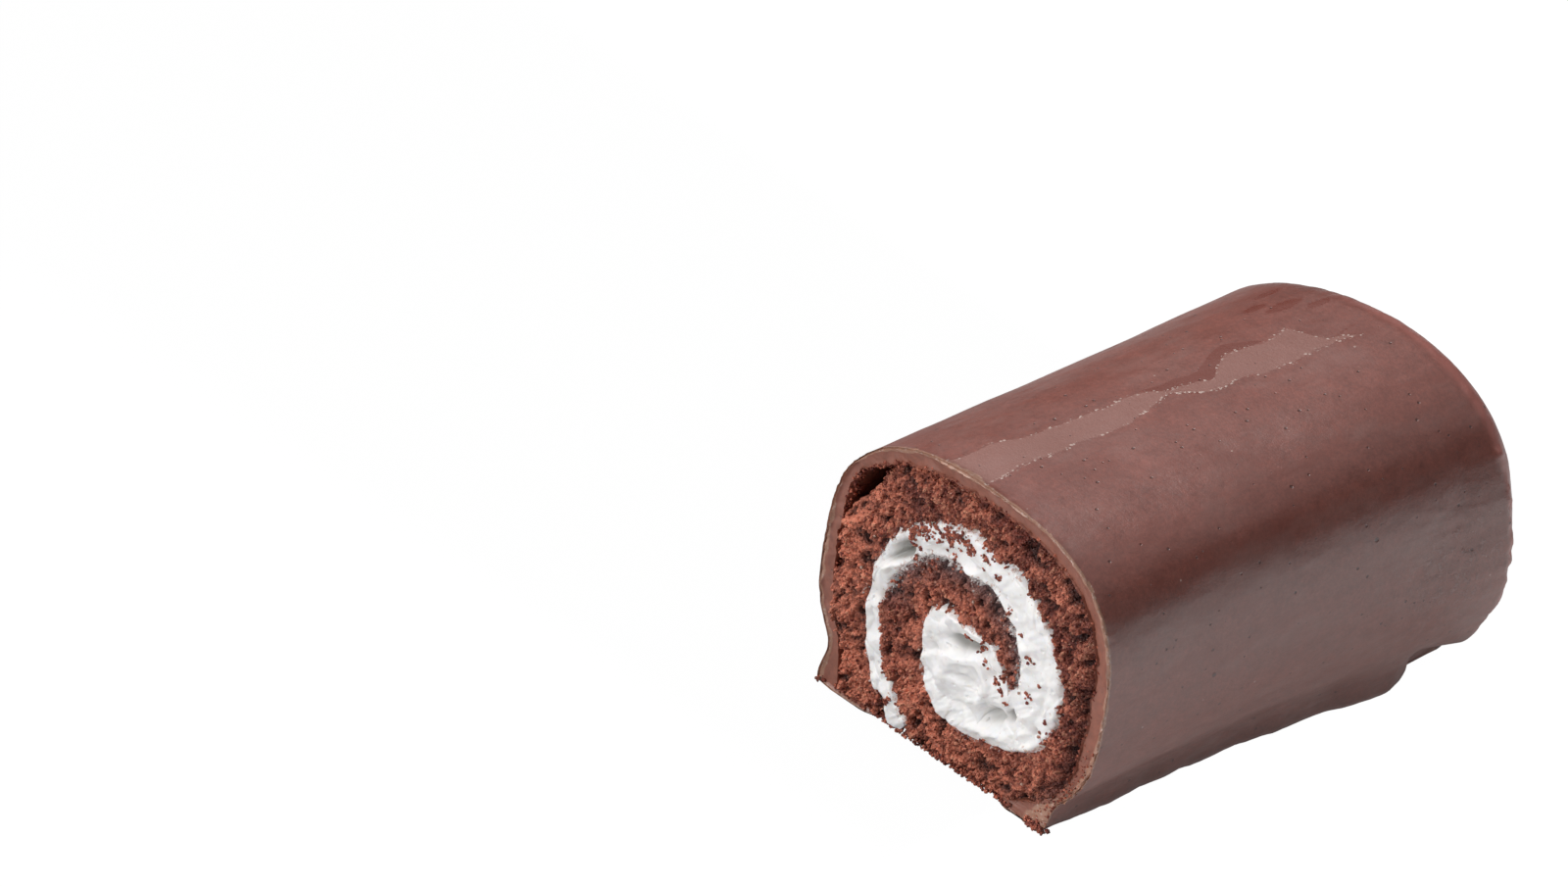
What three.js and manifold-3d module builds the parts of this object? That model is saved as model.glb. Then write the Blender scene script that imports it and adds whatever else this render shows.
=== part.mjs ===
// The cut half of a chocolate roll cake: a thin chocolate coating, open at the cut, over one
// sponge sheet rolled up with a layer of white cream. Millimetres. X runs along the cut face,
// Y along the roll away from the cut, Z up from the table.
import * as THREE from "three";
import Module from "manifold-3d";

// Length of the half, from the cut to the covered far end.
const LENGTH = 42;
const CUT_Y = -LENGTH / 2;
const FAR_Y = LENGTH / 2;

// Section of the coating: a leaning rounded square that has sagged on its base.
const POLE = [0, 14.3];
const BODY = { halfWidth: 17, halfHeight: 14.1, square: 2.7, lean: 0.18 };
const FOOT_LEFT = { cut: 17.9, middle: 18.6, slope: 0.42 };
const FOOT_SLOPE = 0.3;
const FOOT_ROOF = 4;
const FOOT_BLEND = 1.2;
// Reach of the right-hand foot at stations along the roll.
const FOOT_STATIONS = [-21, -10, -2, 2, 6.8, 10, 12.6, 14.6, 16, 17.5, 19, 21];
const FOOT_REACH = [9.9, 10.1, 10.3, 10.8, 11.1, 12.0, 12.2, 11.4, 9.8, 8.8, 9.2, 9.0];

// Inner wall of the coating, the floor under the sponge and the end wall.
const WALL = { halfWidth: 15.5, up: 12.7, down: 14.3, square: 2.75, lean: 0.17 };
const WALL_LEFT = { reach: -15.5, slope: 0.025, roof: 1 };
const FLOOR = 0.45;
const CAVITY_END = 18.4;

// Far end: a rounded shoulder, a rim and a shallow recess with the turns of the roll showing.
const SHOULDER = 2.0;
const SHOULDER_TOP = 3.0;
const RIM = 1.6;
const RECESS = 0.8;
const TURN_PITCH = 4.6;
const TURN_HEIGHT = 0.3;
const TURN_REACH = [8.5, 11.5];

// The rolled sheet: reach of its inner side from the middle of the winding, once every STEP
// degrees clockwise from the bottom left corner, and of its outer side on the inner lap.
const CORE = [0.5, 10];
const STEP = 44;
const START = 220;
const INNER_LAP = -132;
const TIP = -352;
const SHEET_INSIDE = [13.6, 12.4, 12.2, 13.0, 13.1, 10.2, 6.8, 5.7, 6.6, 5.7, 5.8, 4.2, 4.6, 4.7];
const SHEET_OUTSIDE = [11.2, 10.5, 9.9, 9.5, 8.95, 5.6];
const GAP = 0.3;

// Relief of the cut: crumb in the sponge, soft dents in the cream.
const CRUMB = { depth: 0.55, pitch: 0.8, size: 1.7, relief: 0.42 };
const SWIRL = { depth: 0.45, pitch: 1.3, size: 3.6, relief: 0.3 };

const AROUND_BODY = 84;
const AROUND_BASE = 14;

const rad = (degrees) => (degrees * Math.PI) / 180;
const mix = (a, b, t) => a + (b - a) * t;

function ease(from, to, x) {
  const t = Math.min(Math.max((x - from) / (to - from), 0), 1);
  return t * t * (3 - 2 * t);
}

// A smooth maximum: the larger of two reaches, blended over the width k.
function softMax(a, b, k) {
  const h = Math.min(Math.max(0.5 + (0.5 * (a - b)) / k, 0), 1);
  return mix(b, a, h) + k * h * (1 - h);
}

// A swelling of the section round one direction, in degrees.
function swell(degrees, at, wide, high) {
  const away = ((((degrees - at + 180) % 360) + 360) % 360) - 180;
  return high * Math.exp(-((away / wide) ** 2));
}

function stations(xs, values, x) {
  if (x <= xs[0]) return values[0];
  for (let i = 1; i < xs.length; i++) {
    if (x <= xs[i]) return mix(values[i - 1], values[i], (x - xs[i - 1]) / (xs[i] - xs[i - 1]));
  }
  return values[values.length - 1];
}

// A smooth curve through values given at 0, 1, 2 and so on.
function through(values, u) {
  const i = Math.min(Math.max(Math.floor(u), 0), values.length - 2);
  const f = u - i;
  const p1 = values[i];
  const p2 = values[i + 1];
  const p0 = values[Math.max(i - 1, 0)];
  const p3 = values[Math.min(i + 2, values.length - 1)];
  const bend = 3 * (p1 - p2) + p3 - p0;
  return p1 + 0.5 * f * (p2 - p0 + f * (2 * p0 - 5 * p1 + 4 * p2 - p3 + f * bend));
}

// Repeatable smooth noise between -1 and 1.
function hash(i, j, k) {
  const s = Math.sin(i * 127.1 + j * 311.7 + k * 74.7) * 43758.5453;
  return 2 * (s - Math.floor(s)) - 1;
}

function noise(x, y, seed) {
  const i = Math.floor(x);
  const j = Math.floor(y);
  const u = ease(0, 1, x - i);
  const v = ease(0, 1, y - j);
  const low = mix(hash(i, j, seed), hash(i + 1, j, seed), u);
  const high = mix(hash(i, j + 1, seed), hash(i + 1, j + 1, seed), u);
  return mix(low, high, v);
}

// Reach of a leaning superellipse from the pole.
function bodyReach(phi, halfWidth, up, down, square, lean) {
  const c = Math.cos(phi);
  const s = Math.sin(phi);
  const half = s > 0 ? up : down;
  const across = Math.abs((c - lean * s) / halfWidth) ** square;
  return (across + Math.abs(s / half) ** square) ** (-1 / square);
}

// Reach from the pole to a line X = at + slope * Z, or far away where the ray misses it.
function lineReach(phi, at, slope) {
  const q = (at + slope * POLE[1] - POLE[0]) / (Math.cos(phi) - slope * Math.sin(phi));
  return q > 0 ? q : 1000;
}

function skirtReach(phi, left, leftSlope, right, rightSlope, roof) {
  const lid = Math.sin(phi) > 0 ? roof / Math.sin(phi) : 1000;
  return Math.min(lineReach(phi, left, leftSlope), lineReach(phi, right, rightSlope), lid);
}

const footRight = (y) => stations(FOOT_STATIONS, FOOT_REACH, y);
const footLeft = (y) => -mix(FOOT_LEFT.cut, FOOT_LEFT.middle, ease(-16, 6, y) - ease(10, 20, y));

function floorReach(phi, height) {
  return Math.sin(phi) < 0 ? (height - POLE[1]) / Math.sin(phi) : 1000;
}

// The base lifts a little off the table at the far right.
function baseHeight(phi, y) {
  const x = POLE[0] - (POLE[1] * Math.cos(phi)) / Math.sin(phi);
  return 0.8 * ease(16.5, 19, y) * ease(4, 9, x);
}

function outerReach(phi, y) {
  const degrees = (phi * 180) / Math.PI;
  const far = ease(-12, 20, y);
  let r = bodyReach(phi, BODY.halfWidth, BODY.halfHeight, BODY.halfHeight, BODY.square, BODY.lean);
  r += swell(degrees, 140, 24, -0.45) + swell(degrees, 172, 16, -0.3) + swell(degrees, 38, 18, 0.1);
  r += far * (swell(degrees, -28, 26, 1.1) + swell(degrees, 8, 20, 0.25));
  const dents = noise(degrees / 34 + 40, y / 9 + 20, 3) + 0.5 * noise(degrees / 17, y / 5, 5);
  r += 0.12 * dents * ease(CUT_Y, CUT_Y + 4, y);
  const skirt = skirtReach(phi, footLeft(y), FOOT_LEFT.slope, footRight(y), FOOT_SLOPE, FOOT_ROOF);
  r = softMax(r, skirt, FOOT_BLEND);
  return Math.min(r, floorReach(phi, baseHeight(phi, y)));
}

function wallReach(phi, inset) {
  const degrees = (phi * 180) / Math.PI;
  const body = bodyReach(phi, WALL.halfWidth, WALL.up, WALL.down, WALL.square, WALL.lean);
  const round = body + swell(degrees, 137, 24, -0.4) - inset;
  const skirt = skirtReach(phi, WALL_LEFT.reach + inset, WALL_LEFT.slope, 4, 0.6, WALL_LEFT.roof);
  return Math.min(softMax(round, skirt, 0.8), floorReach(phi, FLOOR + inset));
}

const at = (phi, r, y) => [POLE[0] + r * Math.cos(phi), y, POLE[1] + r * Math.sin(phi)];

// Directions round a section, from the right-hand corner of the base over the top to the
// left-hand corner and back along the base, so both corners stay sharp.
function directions(left, right, height) {
  const drop = height - POLE[1];
  const from = Math.atan2(drop, right - POLE[0]);
  const to = Math.atan2(drop, left - POLE[0]) + 2 * Math.PI;
  const list = [];
  for (let i = 0; i < AROUND_BODY; i++) list.push(mix(from, to, i / AROUND_BODY));
  for (let i = 0; i < AROUND_BASE; i++) list.push(mix(to, from + 2 * Math.PI, i / AROUND_BASE));
  return list;
}

const outerDirections = (y) => directions(footLeft(y), footRight(y), 0);
const wallDirections = directions(WALL_LEFT.reach, 4, FLOOR);

// Height of the far end's relief at a distance from the outline and a direction.
function endRelief(phi, r, reach) {
  const inside = reach - r;
  const turns = r / TURN_PITCH - phi / (2 * Math.PI);
  const shown = ease(1, 3, r) * (1 - ease(TURN_REACH[0], TURN_REACH[1], r));
  const ridge = TURN_HEIGHT * Math.cos(2 * Math.PI * turns) * shown;
  return -RECESS * ease(0, RIM, inside) + ridge * ease(RIM, RIM + 2, inside);
}

function farY(phi) {
  const s = Math.sin(phi);
  return FAR_Y + (s < 0 ? -0.6 * s : -0.2 * s);
}

function shoulder(phi) {
  const degrees = (phi * 180) / Math.PI;
  return SHOULDER + swell(degrees, 122, 38, SHOULDER_TOP) + swell(degrees, 45, 25, 0.8);
}

// A closed surface over rows of points that run round it, with a point at each end.
function closedRows(first, rows, last) {
  const n = rows[0].length;
  const positions = [...first];
  for (const row of rows) for (const p of row) positions.push(...p);
  positions.push(...last);
  const end = positions.length / 3 - 1;
  const index = [];
  const id = (i, j) => 1 + i * n + (j % n);
  for (let j = 0; j < n; j++) {
    index.push(0, id(0, j), id(0, j + 1));
    index.push(end, id(rows.length - 1, j + 1), id(rows.length - 1, j));
  }
  for (let i = 0; i + 1 < rows.length; i++) {
    for (let j = 0; j < n; j++) {
      index.push(id(i, j), id(i + 1, j + 1), id(i, j + 1));
      index.push(id(i, j), id(i + 1, j), id(i + 1, j + 1));
    }
  }
  const geometry = new THREE.BufferGeometry();
  geometry.setAttribute("position", new THREE.Float32BufferAttribute(positions, 3));
  geometry.setIndex(index);
  return geometry;
}

// The coating as one surface: up the cavity from its end wall, over the cut rim, back along
// the outside, round the shoulder and in over the far end.
function coatingGeometry() {
  const rows = [];
  for (const share of [0.3, 0.65, 1]) {
    rows.push(wallDirections.map((phi) => at(phi, share * wallReach(phi, 0), CAVITY_END)));
  }
  for (const y of [12, 5, -2, -9, -15, -19]) {
    rows.push(wallDirections.map((phi) => at(phi, wallReach(phi, 0), y)));
  }
  const cut = outerDirections(CUT_Y);
  const chip = (phi, seed) => 0.14 * Math.abs(noise(phi * 7, 2, seed));
  rows.push(wallDirections.map((phi) => at(phi, wallReach(phi, 0), CUT_Y + chip(phi, 11))));
  rows.push(cut.map((phi, j) => {
    const middle = mix(wallReach(wallDirections[j], 0), outerReach(phi, CUT_Y), 0.5);
    return at(mix(wallDirections[j], phi, 0.5), middle, CUT_Y + chip(phi, 12));
  }));
  rows.push(cut.map((phi) => at(phi, outerReach(phi, CUT_Y), CUT_Y + chip(phi, 13))));
  for (const y of [-19.5, -17.5, -15, -12, -9, -6, -3, 0, 2.5, 5, 7.5, 10, 12.5, 14.5, 16]) {
    rows.push(outerDirections(y).map((phi) => at(phi, outerReach(phi, y), y)));
  }
  for (const turn of [0, 25, 50, 72, 90]) {
    rows.push(outerDirections(18).map((phi) => {
      const round = shoulder(phi);
      const y = Math.max(farY(phi) - round * (1 - Math.sin(rad(turn))), 16.3 + turn / 90);
      return at(phi, outerReach(phi, y) - 0.8 * round * (1 - Math.cos(rad(turn))), y);
    }));
  }
  for (const share of [0.94, 0.87, 0.78, 0.67, 0.55, 0.43, 0.3, 0.16]) {
    rows.push(outerDirections(18).map((phi) => {
      const reach = outerReach(phi, FAR_Y) - 0.8 * shoulder(phi);
      const r = share * mix(Math.min(13, reach), reach, ease(0.3, 1, share));
      return at(phi, r, mix(FAR_Y, farY(phi), share) + endRelief(phi, r, reach));
    }));
  }
  const near = at(0, 0, CAVITY_END);
  return closedRows(near, rows, at(0, 0, FAR_Y - RECESS));
}

const around = (degrees, r) => {
  const a = rad(degrees);
  return [CORE[0] + r * Math.cos(a), CORE[1] + r * Math.sin(a)];
};

// Distance from the middle of the winding to the inner wall, for every direction.
const wallTable = (() => {
  const rows = [];
  for (let k = 0; k < 1440; k++) {
    const phi = rad(k / 4);
    const r = wallReach(phi, GAP);
    const x = POLE[0] + r * Math.cos(phi) - CORE[0];
    const z = POLE[1] + r * Math.sin(phi) - CORE[1];
    rows.push([(((Math.atan2(z, x) * 180) / Math.PI) + 360) % 360, Math.hypot(x, z)]);
  }
  return rows.sort((a, b) => a[0] - b[0]);
})();
const wallAngles = wallTable.map((row) => row[0]);
const wallReaches = wallTable.map((row) => row[1]);
const toWall = (degrees) => stations(wallAngles, wallReaches, ((degrees % 360) + 360) % 360);

const BASE = FLOOR + GAP;

function toBase(degrees) {
  const s = Math.sin(rad(degrees));
  return s < 0 ? (BASE - CORE[1]) / s : 1000;
}

const sheetInside = (degrees) => through(SHEET_INSIDE, (START - degrees) / STEP);

function sheetOutside(degrees) {
  if (degrees > INNER_LAP) return Math.min(toWall(degrees), toBase(degrees));
  return Math.min(through(SHEET_OUTSIDE, (INNER_LAP - degrees) / STEP), toBase(degrees));
}

// The sheet's outline: along its outer side to the tip and back along its inner side.
function sheetOutline() {
  const points = [];
  for (let a = START; a > TIP; a -= 4) points.push(around(a, sheetOutside(a) - 0.02));
  points.push(around(TIP - 2, 5.1));
  for (let a = TIP; a <= START; a += 4) {
    points.push(around(a, Math.min(sheetInside(a) + GAP / 2, sheetOutside(a) - 0.25)));
  }
  return points;
}

// The cream's outline: along the sheet's inner side, round its tip and back outside the
// inner lap down to the base.
function creamOutline() {
  const points = [];
  const keep = (a, r) => points.push(around(a, Math.min(r, toBase(a))));
  for (let a = START - 2; a > TIP; a -= 4) keep(a, sheetInside(a) - GAP / 2);
  points.push(around(TIP, 4.5), around(TIP - 6, 5.0));
  for (let a = TIP; a <= INNER_LAP; a += 4) keep(a, sheetOutside(a) + GAP / 2 + 0.05);
  points.push(around(INNER_LAP - 1, toBase(INNER_LAP - 1)));
  return points;
}

// A bar with the given outline, along the roll.
function bar(points, from, to) {
  const outline = points.map(([x, z]) => new THREE.Vector2(x, z));
  if (THREE.ShapeUtils.isClockWise(outline)) outline.reverse();
  const n = outline.length;
  const positions = [];
  for (const y of [from, to]) for (const p of outline) positions.push(p.x, y, p.y);
  const index = [];
  for (const [a, b, c] of THREE.ShapeUtils.triangulateShape(outline, [])) {
    index.push(a, b, c, n + a, n + c, n + b);
  }
  for (let i = 0; i < n; i++) {
    const j = (i + 1) % n;
    index.push(i, n + j, j, i, n + i, n + j);
  }
  const geometry = new THREE.BufferGeometry();
  geometry.setAttribute("position", new THREE.Float32BufferAttribute(positions, 3));
  geometry.setIndex(index);
  return geometry;
}

// What the knife took away in front of the cut: a slab whose back is the cut's relief.
function knifeSlab(cut, seed) {
  const columns = Math.round(38 / cut.pitch);
  const lines = Math.round(32 / cut.pitch);
  const positions = [];
  const index = [];
  const back = (i, j) => i * (lines + 1) + j;
  for (let i = 0; i <= columns; i++) {
    for (let j = 0; j <= lines; j++) {
      const x = -19 + (38 * i) / columns;
      const z = -2 + (32 * j) / lines;
      const under = 0.5 * ease(20, 26, z + 0.35 * x);
      const rough = noise(x / cut.size, z / cut.size, seed) + 0.5 * noise(x, z, seed + 1);
      positions.push(x, CUT_Y + cut.depth + under + cut.relief * 0.66 * rough, z);
    }
  }
  const front = positions.length / 3;
  for (let k = 0; k < front; k++) positions.push(positions[3 * k], CUT_Y - 2, positions[3 * k + 2]);
  for (let i = 0; i < columns; i++) {
    for (let j = 0; j < lines; j++) {
      const [a, b, c, d] = [back(i, j), back(i + 1, j), back(i + 1, j + 1), back(i, j + 1)];
      index.push(a, c, b, a, d, c);
      index.push(front + a, front + b, front + c, front + a, front + c, front + d);
    }
  }
  const edge = [];
  for (let i = 0; i < columns; i++) edge.push(back(i, 0));
  for (let j = 0; j < lines; j++) edge.push(back(columns, j));
  for (let i = columns; i > 0; i--) edge.push(back(i, lines));
  for (let j = lines; j > 0; j--) edge.push(back(0, j));
  edge.forEach((a, k) => {
    const b = edge[(k + 1) % edge.length];
    index.push(a, b, front + b, a, front + b, front + a);
  });
  const geometry = new THREE.BufferGeometry();
  geometry.setAttribute("position", new THREE.Float32BufferAttribute(positions, 3));
  geometry.setIndex(index);
  return geometry;
}

const wasm = await Module();
wasm.setup();

function solidOf(geometry) {
  return new wasm.Manifold(
    new wasm.Mesh({
      numProp: 3,
      vertProperties: new Float32Array(geometry.getAttribute("position").array),
      triVerts: new Uint32Array(geometry.getIndex().array),
    }),
  );
}

function geometryOf(solid) {
  const mesh = solid.getMesh();
  const geometry = new THREE.BufferGeometry();
  geometry.setAttribute("position", new THREE.Float32BufferAttribute(mesh.vertProperties, 3));
  geometry.setIndex([...mesh.triVerts]);
  return geometry;
}

const cutAway = (geometry, slab) => geometryOf(solidOf(geometry).subtract(solidOf(slab)));

function piece(name, geometry, color, roughness) {
  const flat = geometry.toNonIndexed();
  flat.computeVertexNormals();
  const material = new THREE.MeshStandardMaterial({ color, roughness, metalness: 0 });
  const mesh = new THREE.Mesh(flat, material);
  mesh.name = name;
  return mesh;
}

const roll = new THREE.Group();
roll.name = "chocolate_roll_cake";
const end = CAVITY_END - GAP;
const sponge = cutAway(bar(sheetOutline(), CUT_Y, end), knifeSlab(CRUMB, 21));
const cream = cutAway(bar(creamOutline(), CUT_Y, end), knifeSlab(SWIRL, 31));
roll.add(piece("coating", coatingGeometry(), 0x7d544c, 0.42));
roll.add(piece("sponge", sponge, 0x6f3f34, 0.95));
roll.add(piece("cream", cream, 0xeeebe8, 0.6));

export default roll;
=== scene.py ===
# %% [markdown]
# # The cut half of a chocolate roll cake
#
# A thin sponge sheet was spread with white cream, rolled up and dipped in milk chocolate, and
# then the roll was cut across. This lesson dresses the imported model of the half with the
# surfaces that the eye needs: the flowing coating with its broken rim, the open crumb of the
# sponge, and the torn cream.
#
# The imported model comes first, because every new surface has to sit where its solid sits.

import bmesh
import bpy
import numpy as np
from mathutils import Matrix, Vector


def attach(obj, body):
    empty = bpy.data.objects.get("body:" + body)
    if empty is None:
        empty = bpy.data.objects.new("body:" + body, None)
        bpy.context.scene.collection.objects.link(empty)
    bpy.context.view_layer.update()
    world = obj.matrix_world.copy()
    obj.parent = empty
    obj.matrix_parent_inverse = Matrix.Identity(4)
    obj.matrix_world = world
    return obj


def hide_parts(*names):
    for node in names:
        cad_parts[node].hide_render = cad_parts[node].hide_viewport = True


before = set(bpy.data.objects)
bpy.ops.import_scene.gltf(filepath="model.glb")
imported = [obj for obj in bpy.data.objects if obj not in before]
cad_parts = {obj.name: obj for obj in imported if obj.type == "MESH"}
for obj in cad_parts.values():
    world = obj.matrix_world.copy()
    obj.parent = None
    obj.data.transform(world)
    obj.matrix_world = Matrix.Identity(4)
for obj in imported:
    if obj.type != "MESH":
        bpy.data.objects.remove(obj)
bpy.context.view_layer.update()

# %% [markdown]
# ## Sizes
#
# The shapes are worked out in millimetres and turned into metres when a mesh is made. X runs
# along the cut face, Y along the roll away from the cut, and Z up from the table. These are the
# sizes that the solids were made from: where the cut is, how long the half is, the pole that
# the section is measured from, the middle of the winding, and the film under the hollow.

# %% Sizes
MM = 0.001
CUT_Y = -21.0
FAR_Y = 21.0
CAVITY_END = 18.4
POLE = np.array([0.0, 14.3])
CORE = np.array([0.5, 10.0])
FILM = 0.45
print(f"half roll {FAR_Y - CUT_Y:.0f} mm long, pole {POLE[1]:.1f} mm above the table")

# %% [markdown]
# ## Small tools for shaping
#
# Food is never quite regular. A few small functions give all of its unevenness: an easing step,
# a soft maximum that melts two shapes together, bells along a line or round the section, and
# noise. They take whole arrays, so a surface of a hundred thousand points is worked out in one
# go. Some rays run level and never meet a line; numpy is told to let their division by zero pass.

# %% Easing, melting and swelling
np.seterr(divide="ignore", invalid="ignore")


def ease(start, end, x):
    """0 before start, 1 after end, and 3t^2 - 2t^3 of the share t in between."""
    t = np.clip((x - start) / (end - start), 0, 1)
    return t * t * (3 - 2 * t)


def soft_max(a, b, width):
    """The larger of a and b, with a parabola across the last width of the change-over."""
    h = np.clip(0.5 + 0.5 * (a - b) / width, 0, 1)
    return b * (1 - h) + a * h + width * h * (1 - h)


def bell(away, wide):
    """1 where away is 0, falling to both sides as e to minus (away / wide) squared."""
    return np.exp(-((away / wide) ** 2))


def wrapped(degrees):
    """The same direction as an angle from -180 to 180."""
    return (degrees + 180) % 360 - 180


def swell(degrees, *bells):
    """The sum of bells round a section, each given by its direction, width and height."""
    return sum(high * bell(wrapped(degrees - at), wide) for at, wide, high in bells)


def through(values, u):
    """A smooth curve through values at 0, 1, 2 and so on: a Catmull-Rom cubic between two."""
    v = np.asarray(values, float)
    i = np.clip(np.floor(u).astype(int), 0, len(v) - 2)
    f = u - i
    before, after = v[np.maximum(i - 1, 0)], v[np.minimum(i + 2, len(v) - 1)]
    p, q = v[i], v[i + 1]
    bend = 3 * (p - q) + after - before
    return p + 0.5 * f * (q - before + f * (2 * before - 5 * p + 4 * q - after + f * bend))


print("an eased step at a quarter, half and three quarters:", ease(0, 1, np.array([0.25, 0.5, 0.75])))


# %% Noise and grains
def chance(i, j, seed):
    """A repeatable number from -1 to 1 for each whole cell: the fraction of a large sine."""
    s = np.sin(i * 127.1 + j * 311.7 + seed * 74.7) * 43758.5453
    return 2 * (s - np.floor(s)) - 1


def waves(x, y, seed):
    """Smooth noise from -1 to 1: the four corners' numbers, mixed by eased shares."""
    i, j = np.floor(x), np.floor(y)
    u, v = ease(0, 1, x - i), ease(0, 1, y - j)
    low = chance(i, j, seed) * (1 - u) + chance(i + 1, j, seed) * u
    high = chance(i, j + 1, seed) * (1 - u) + chance(i + 1, j + 1, seed) * u
    return low * (1 - v) + high * v


def rough(x, y, seed, octaves=3):
    """Waves at doubled pitch and halved height, added up."""
    total, height = 0.0, 1.0
    for k in range(octaves):
        total = total + height * waves(x * 2**k + 7.3 * k, y * 2**k - 4.1 * k, seed + 13 * k)
        height *= 0.5
    return total


def grains(x, y, seed):
    """Distance to the nearest of one random point in every cell, and that point's own number."""
    i, j = np.floor(x), np.floor(y)
    near, own = np.full(np.shape(x), 9.0), np.zeros(np.shape(x))
    for ci, cj in [(i + di, j + dj) for di in (-1, 0, 1) for dj in (-1, 0, 1)]:
        px = ci + 0.5 + 0.42 * chance(ci, cj, seed)
        py = cj + 0.5 + 0.42 * chance(ci, cj, seed + 1)
        d = np.hypot(x - px, y - py)
        closer = d < near
        near = np.where(closer, d, near)
        own = np.where(closer, chance(ci, cj, seed + 2), own)
    return near, own


sample = rough(np.linspace(0, 50, 2000), np.linspace(0, 31, 2000), 1)
print(f"rough noise runs from {sample.min():.2f} to {sample.max():.2f}")

# %% [markdown]
# ## The section of the coating
#
# The roll sagged while it was warm, so its section is a leaning, rounded square. A polar reach
# describes it well: for each direction from the pole, how far away is the skin? The formula is a
# superellipse that leans to the right. Below it, chocolate ran down and spread on the belt as
# two feet, so a skirt of straight lines is melted into it, and the base cuts both off flat.

# %% Reach of the outside
FOOT_STATIONS = [-21, -10, -2, 2, 6.8, 10, 12.6, 14.6, 16, 16.8, 17.5, 19, 21]
FOOT_REACH = [9.9, 10.1, 10.3, 10.8, 11.1, 12.0, 12.2, 11.4, 10.0, 9.7, 9.8, 9.9, 9.6]
FAR_AWAY = 1000.0


def superellipse(phi, half_width, up, down, square, lean):
    """Reach r where |(r cos - lean r sin) / half width|^n + |r sin / half height|^n = 1."""
    c, s = np.cos(phi), np.sin(phi)
    half = np.where(s > 0, up, down)
    return (np.abs((c - lean * s) / half_width) ** square + np.abs(s / half) ** square) ** (-1 / square)


def to_line(phi, at, slope):
    """Reach to the line X = at + slope Z, or far away where the ray misses it."""
    reach = (at + slope * POLE[1]) / (np.cos(phi) - slope * np.sin(phi))
    return np.where(reach > 0, reach, FAR_AWAY)


def skirt(phi, left, left_slope, right, right_slope, roof=1.0):
    """Reach to a tent with two sloping sides and a flat roof above the pole."""
    lid = np.where(np.sin(phi) > 0, roof / np.sin(phi), FAR_AWAY)
    return np.minimum(np.minimum(to_line(phi, left, left_slope), to_line(phi, right, right_slope)), lid)


def to_height(phi, height):
    """Reach down to a level height, or far away for a ray that goes up."""
    return np.where(np.sin(phi) < 0, (height - POLE[1]) / np.sin(phi), FAR_AWAY)


def foot_right(y):
    return np.interp(y, FOOT_STATIONS, FOOT_REACH)


def foot_left(y):
    return -(17.9 + 0.7 * (ease(-16, 6, y) - ease(10, 20, y)))


def outside(phi, y):
    """Reach of the coating's skin: leaning superellipse and swellings, melted into the skirt."""
    degrees = np.degrees(phi)
    r = superellipse(phi, 17.0, 14.1, 14.1, 2.7, 0.18)
    r = r + swell(degrees, (140, 24, -0.45), (172, 16, -0.3), (38, 18, 0.1))
    r = r + ease(-12, 20, y) * swell(degrees, (-28, 26, 1.1), (8, 20, 0.25))
    r = r + ease(6, 19, y) * swell(degrees, (-6, 14, 0.5), (34, 22, -0.5))
    r = r + ease(14.5, 18.5, y) * swell(degrees, (-44, 9, 0.95))
    dents = waves(degrees / 34 + 40, y / 9 + 20, 3) + 0.5 * waves(degrees / 17, y / 5, 5)
    r = r + 0.12 * dents * ease(CUT_Y, CUT_Y + 4, y)
    r = soft_max(r, skirt(phi, foot_left(y), 0.38, foot_right(y), 0.3), 1.2)
    r = r + swell(degrees, (217.2, 2.2, 0.38))
    base_x = -POLE[1] * np.cos(phi) / np.sin(phi)
    lift = 0.15 * ease(16.5, 19, y) * ease(4, 9, base_x)
    return np.minimum(r, to_height(phi, lift))


print(f"height at the cut {POLE[1] + outside(np.pi / 2, CUT_Y):.1f} mm")

# %% Reach of the inner wall
WALL_LEFT, WALL_RIGHT = -15.5, 4.0


def wall(phi, inset=0.0):
    """Reach of the coating's inner wall, drawn in by inset: a smaller superellipse and corner."""
    r = superellipse(phi, 15.5, 12.7, 14.3, 2.75, 0.17) - inset
    r = r + swell(np.degrees(phi), (137, 24, -0.4), (150, 12, 0.5), (-12, 20, -0.42))
    r = soft_max(r, skirt(phi, WALL_LEFT + inset, 0.025, WALL_RIGHT, 0.6), 0.8)
    return np.minimum(r, to_height(phi, FILM + inset))


print(f"wall thickness at the top {outside(np.pi / 2, CUT_Y) - wall(np.pi / 2):.2f} mm")


# %% Directions and points of a section
def directions(left, right, height, body=480, base=60):
    """Angles once round a section, with a sample exactly on each corner of its base."""
    left, right = np.atleast_1d(left)[:, None], np.atleast_1d(right)[:, None]
    start = np.arctan2(height - POLE[1], right)
    corner = np.arctan2(height - POLE[1], left) + 2 * np.pi
    over = start + (corner - start) * np.arange(body) / body
    under = corner + (start + 2 * np.pi - corner) * np.arange(base) / base
    return np.concatenate([over, under], axis=1)


def section_points(phi, reach, y):
    """Points of a section: the pole plus reach along each direction, at Y."""
    x, z = POLE[0] + reach * np.cos(phi), POLE[1] + reach * np.sin(phi)
    return np.stack([x, np.broadcast_to(y, x.shape), z], -1)


print("samples round a section:", directions(foot_left(CUT_Y), foot_right(CUT_Y), 0).shape[1])

# %% [markdown]
# ## From points to a mesh
#
# Every piece here is a closed skin: rows of points that each run once round it, one row after
# the other, and a single point that closes each end. One helper turns such rows into a mesh. It
# measures the enclosed volume, and where that comes out negative the faces look inwards, so it
# turns them round. Extra numbers, such as how deep a pit is, go in as named attributes that the
# materials read.


# %% Mesh helper
def show(name, data):
    """An object of that name in the scene, for a mesh, a light or a camera."""
    thing = bpy.data.objects.new(name, data)
    bpy.context.scene.collection.objects.link(thing)
    return thing


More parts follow.
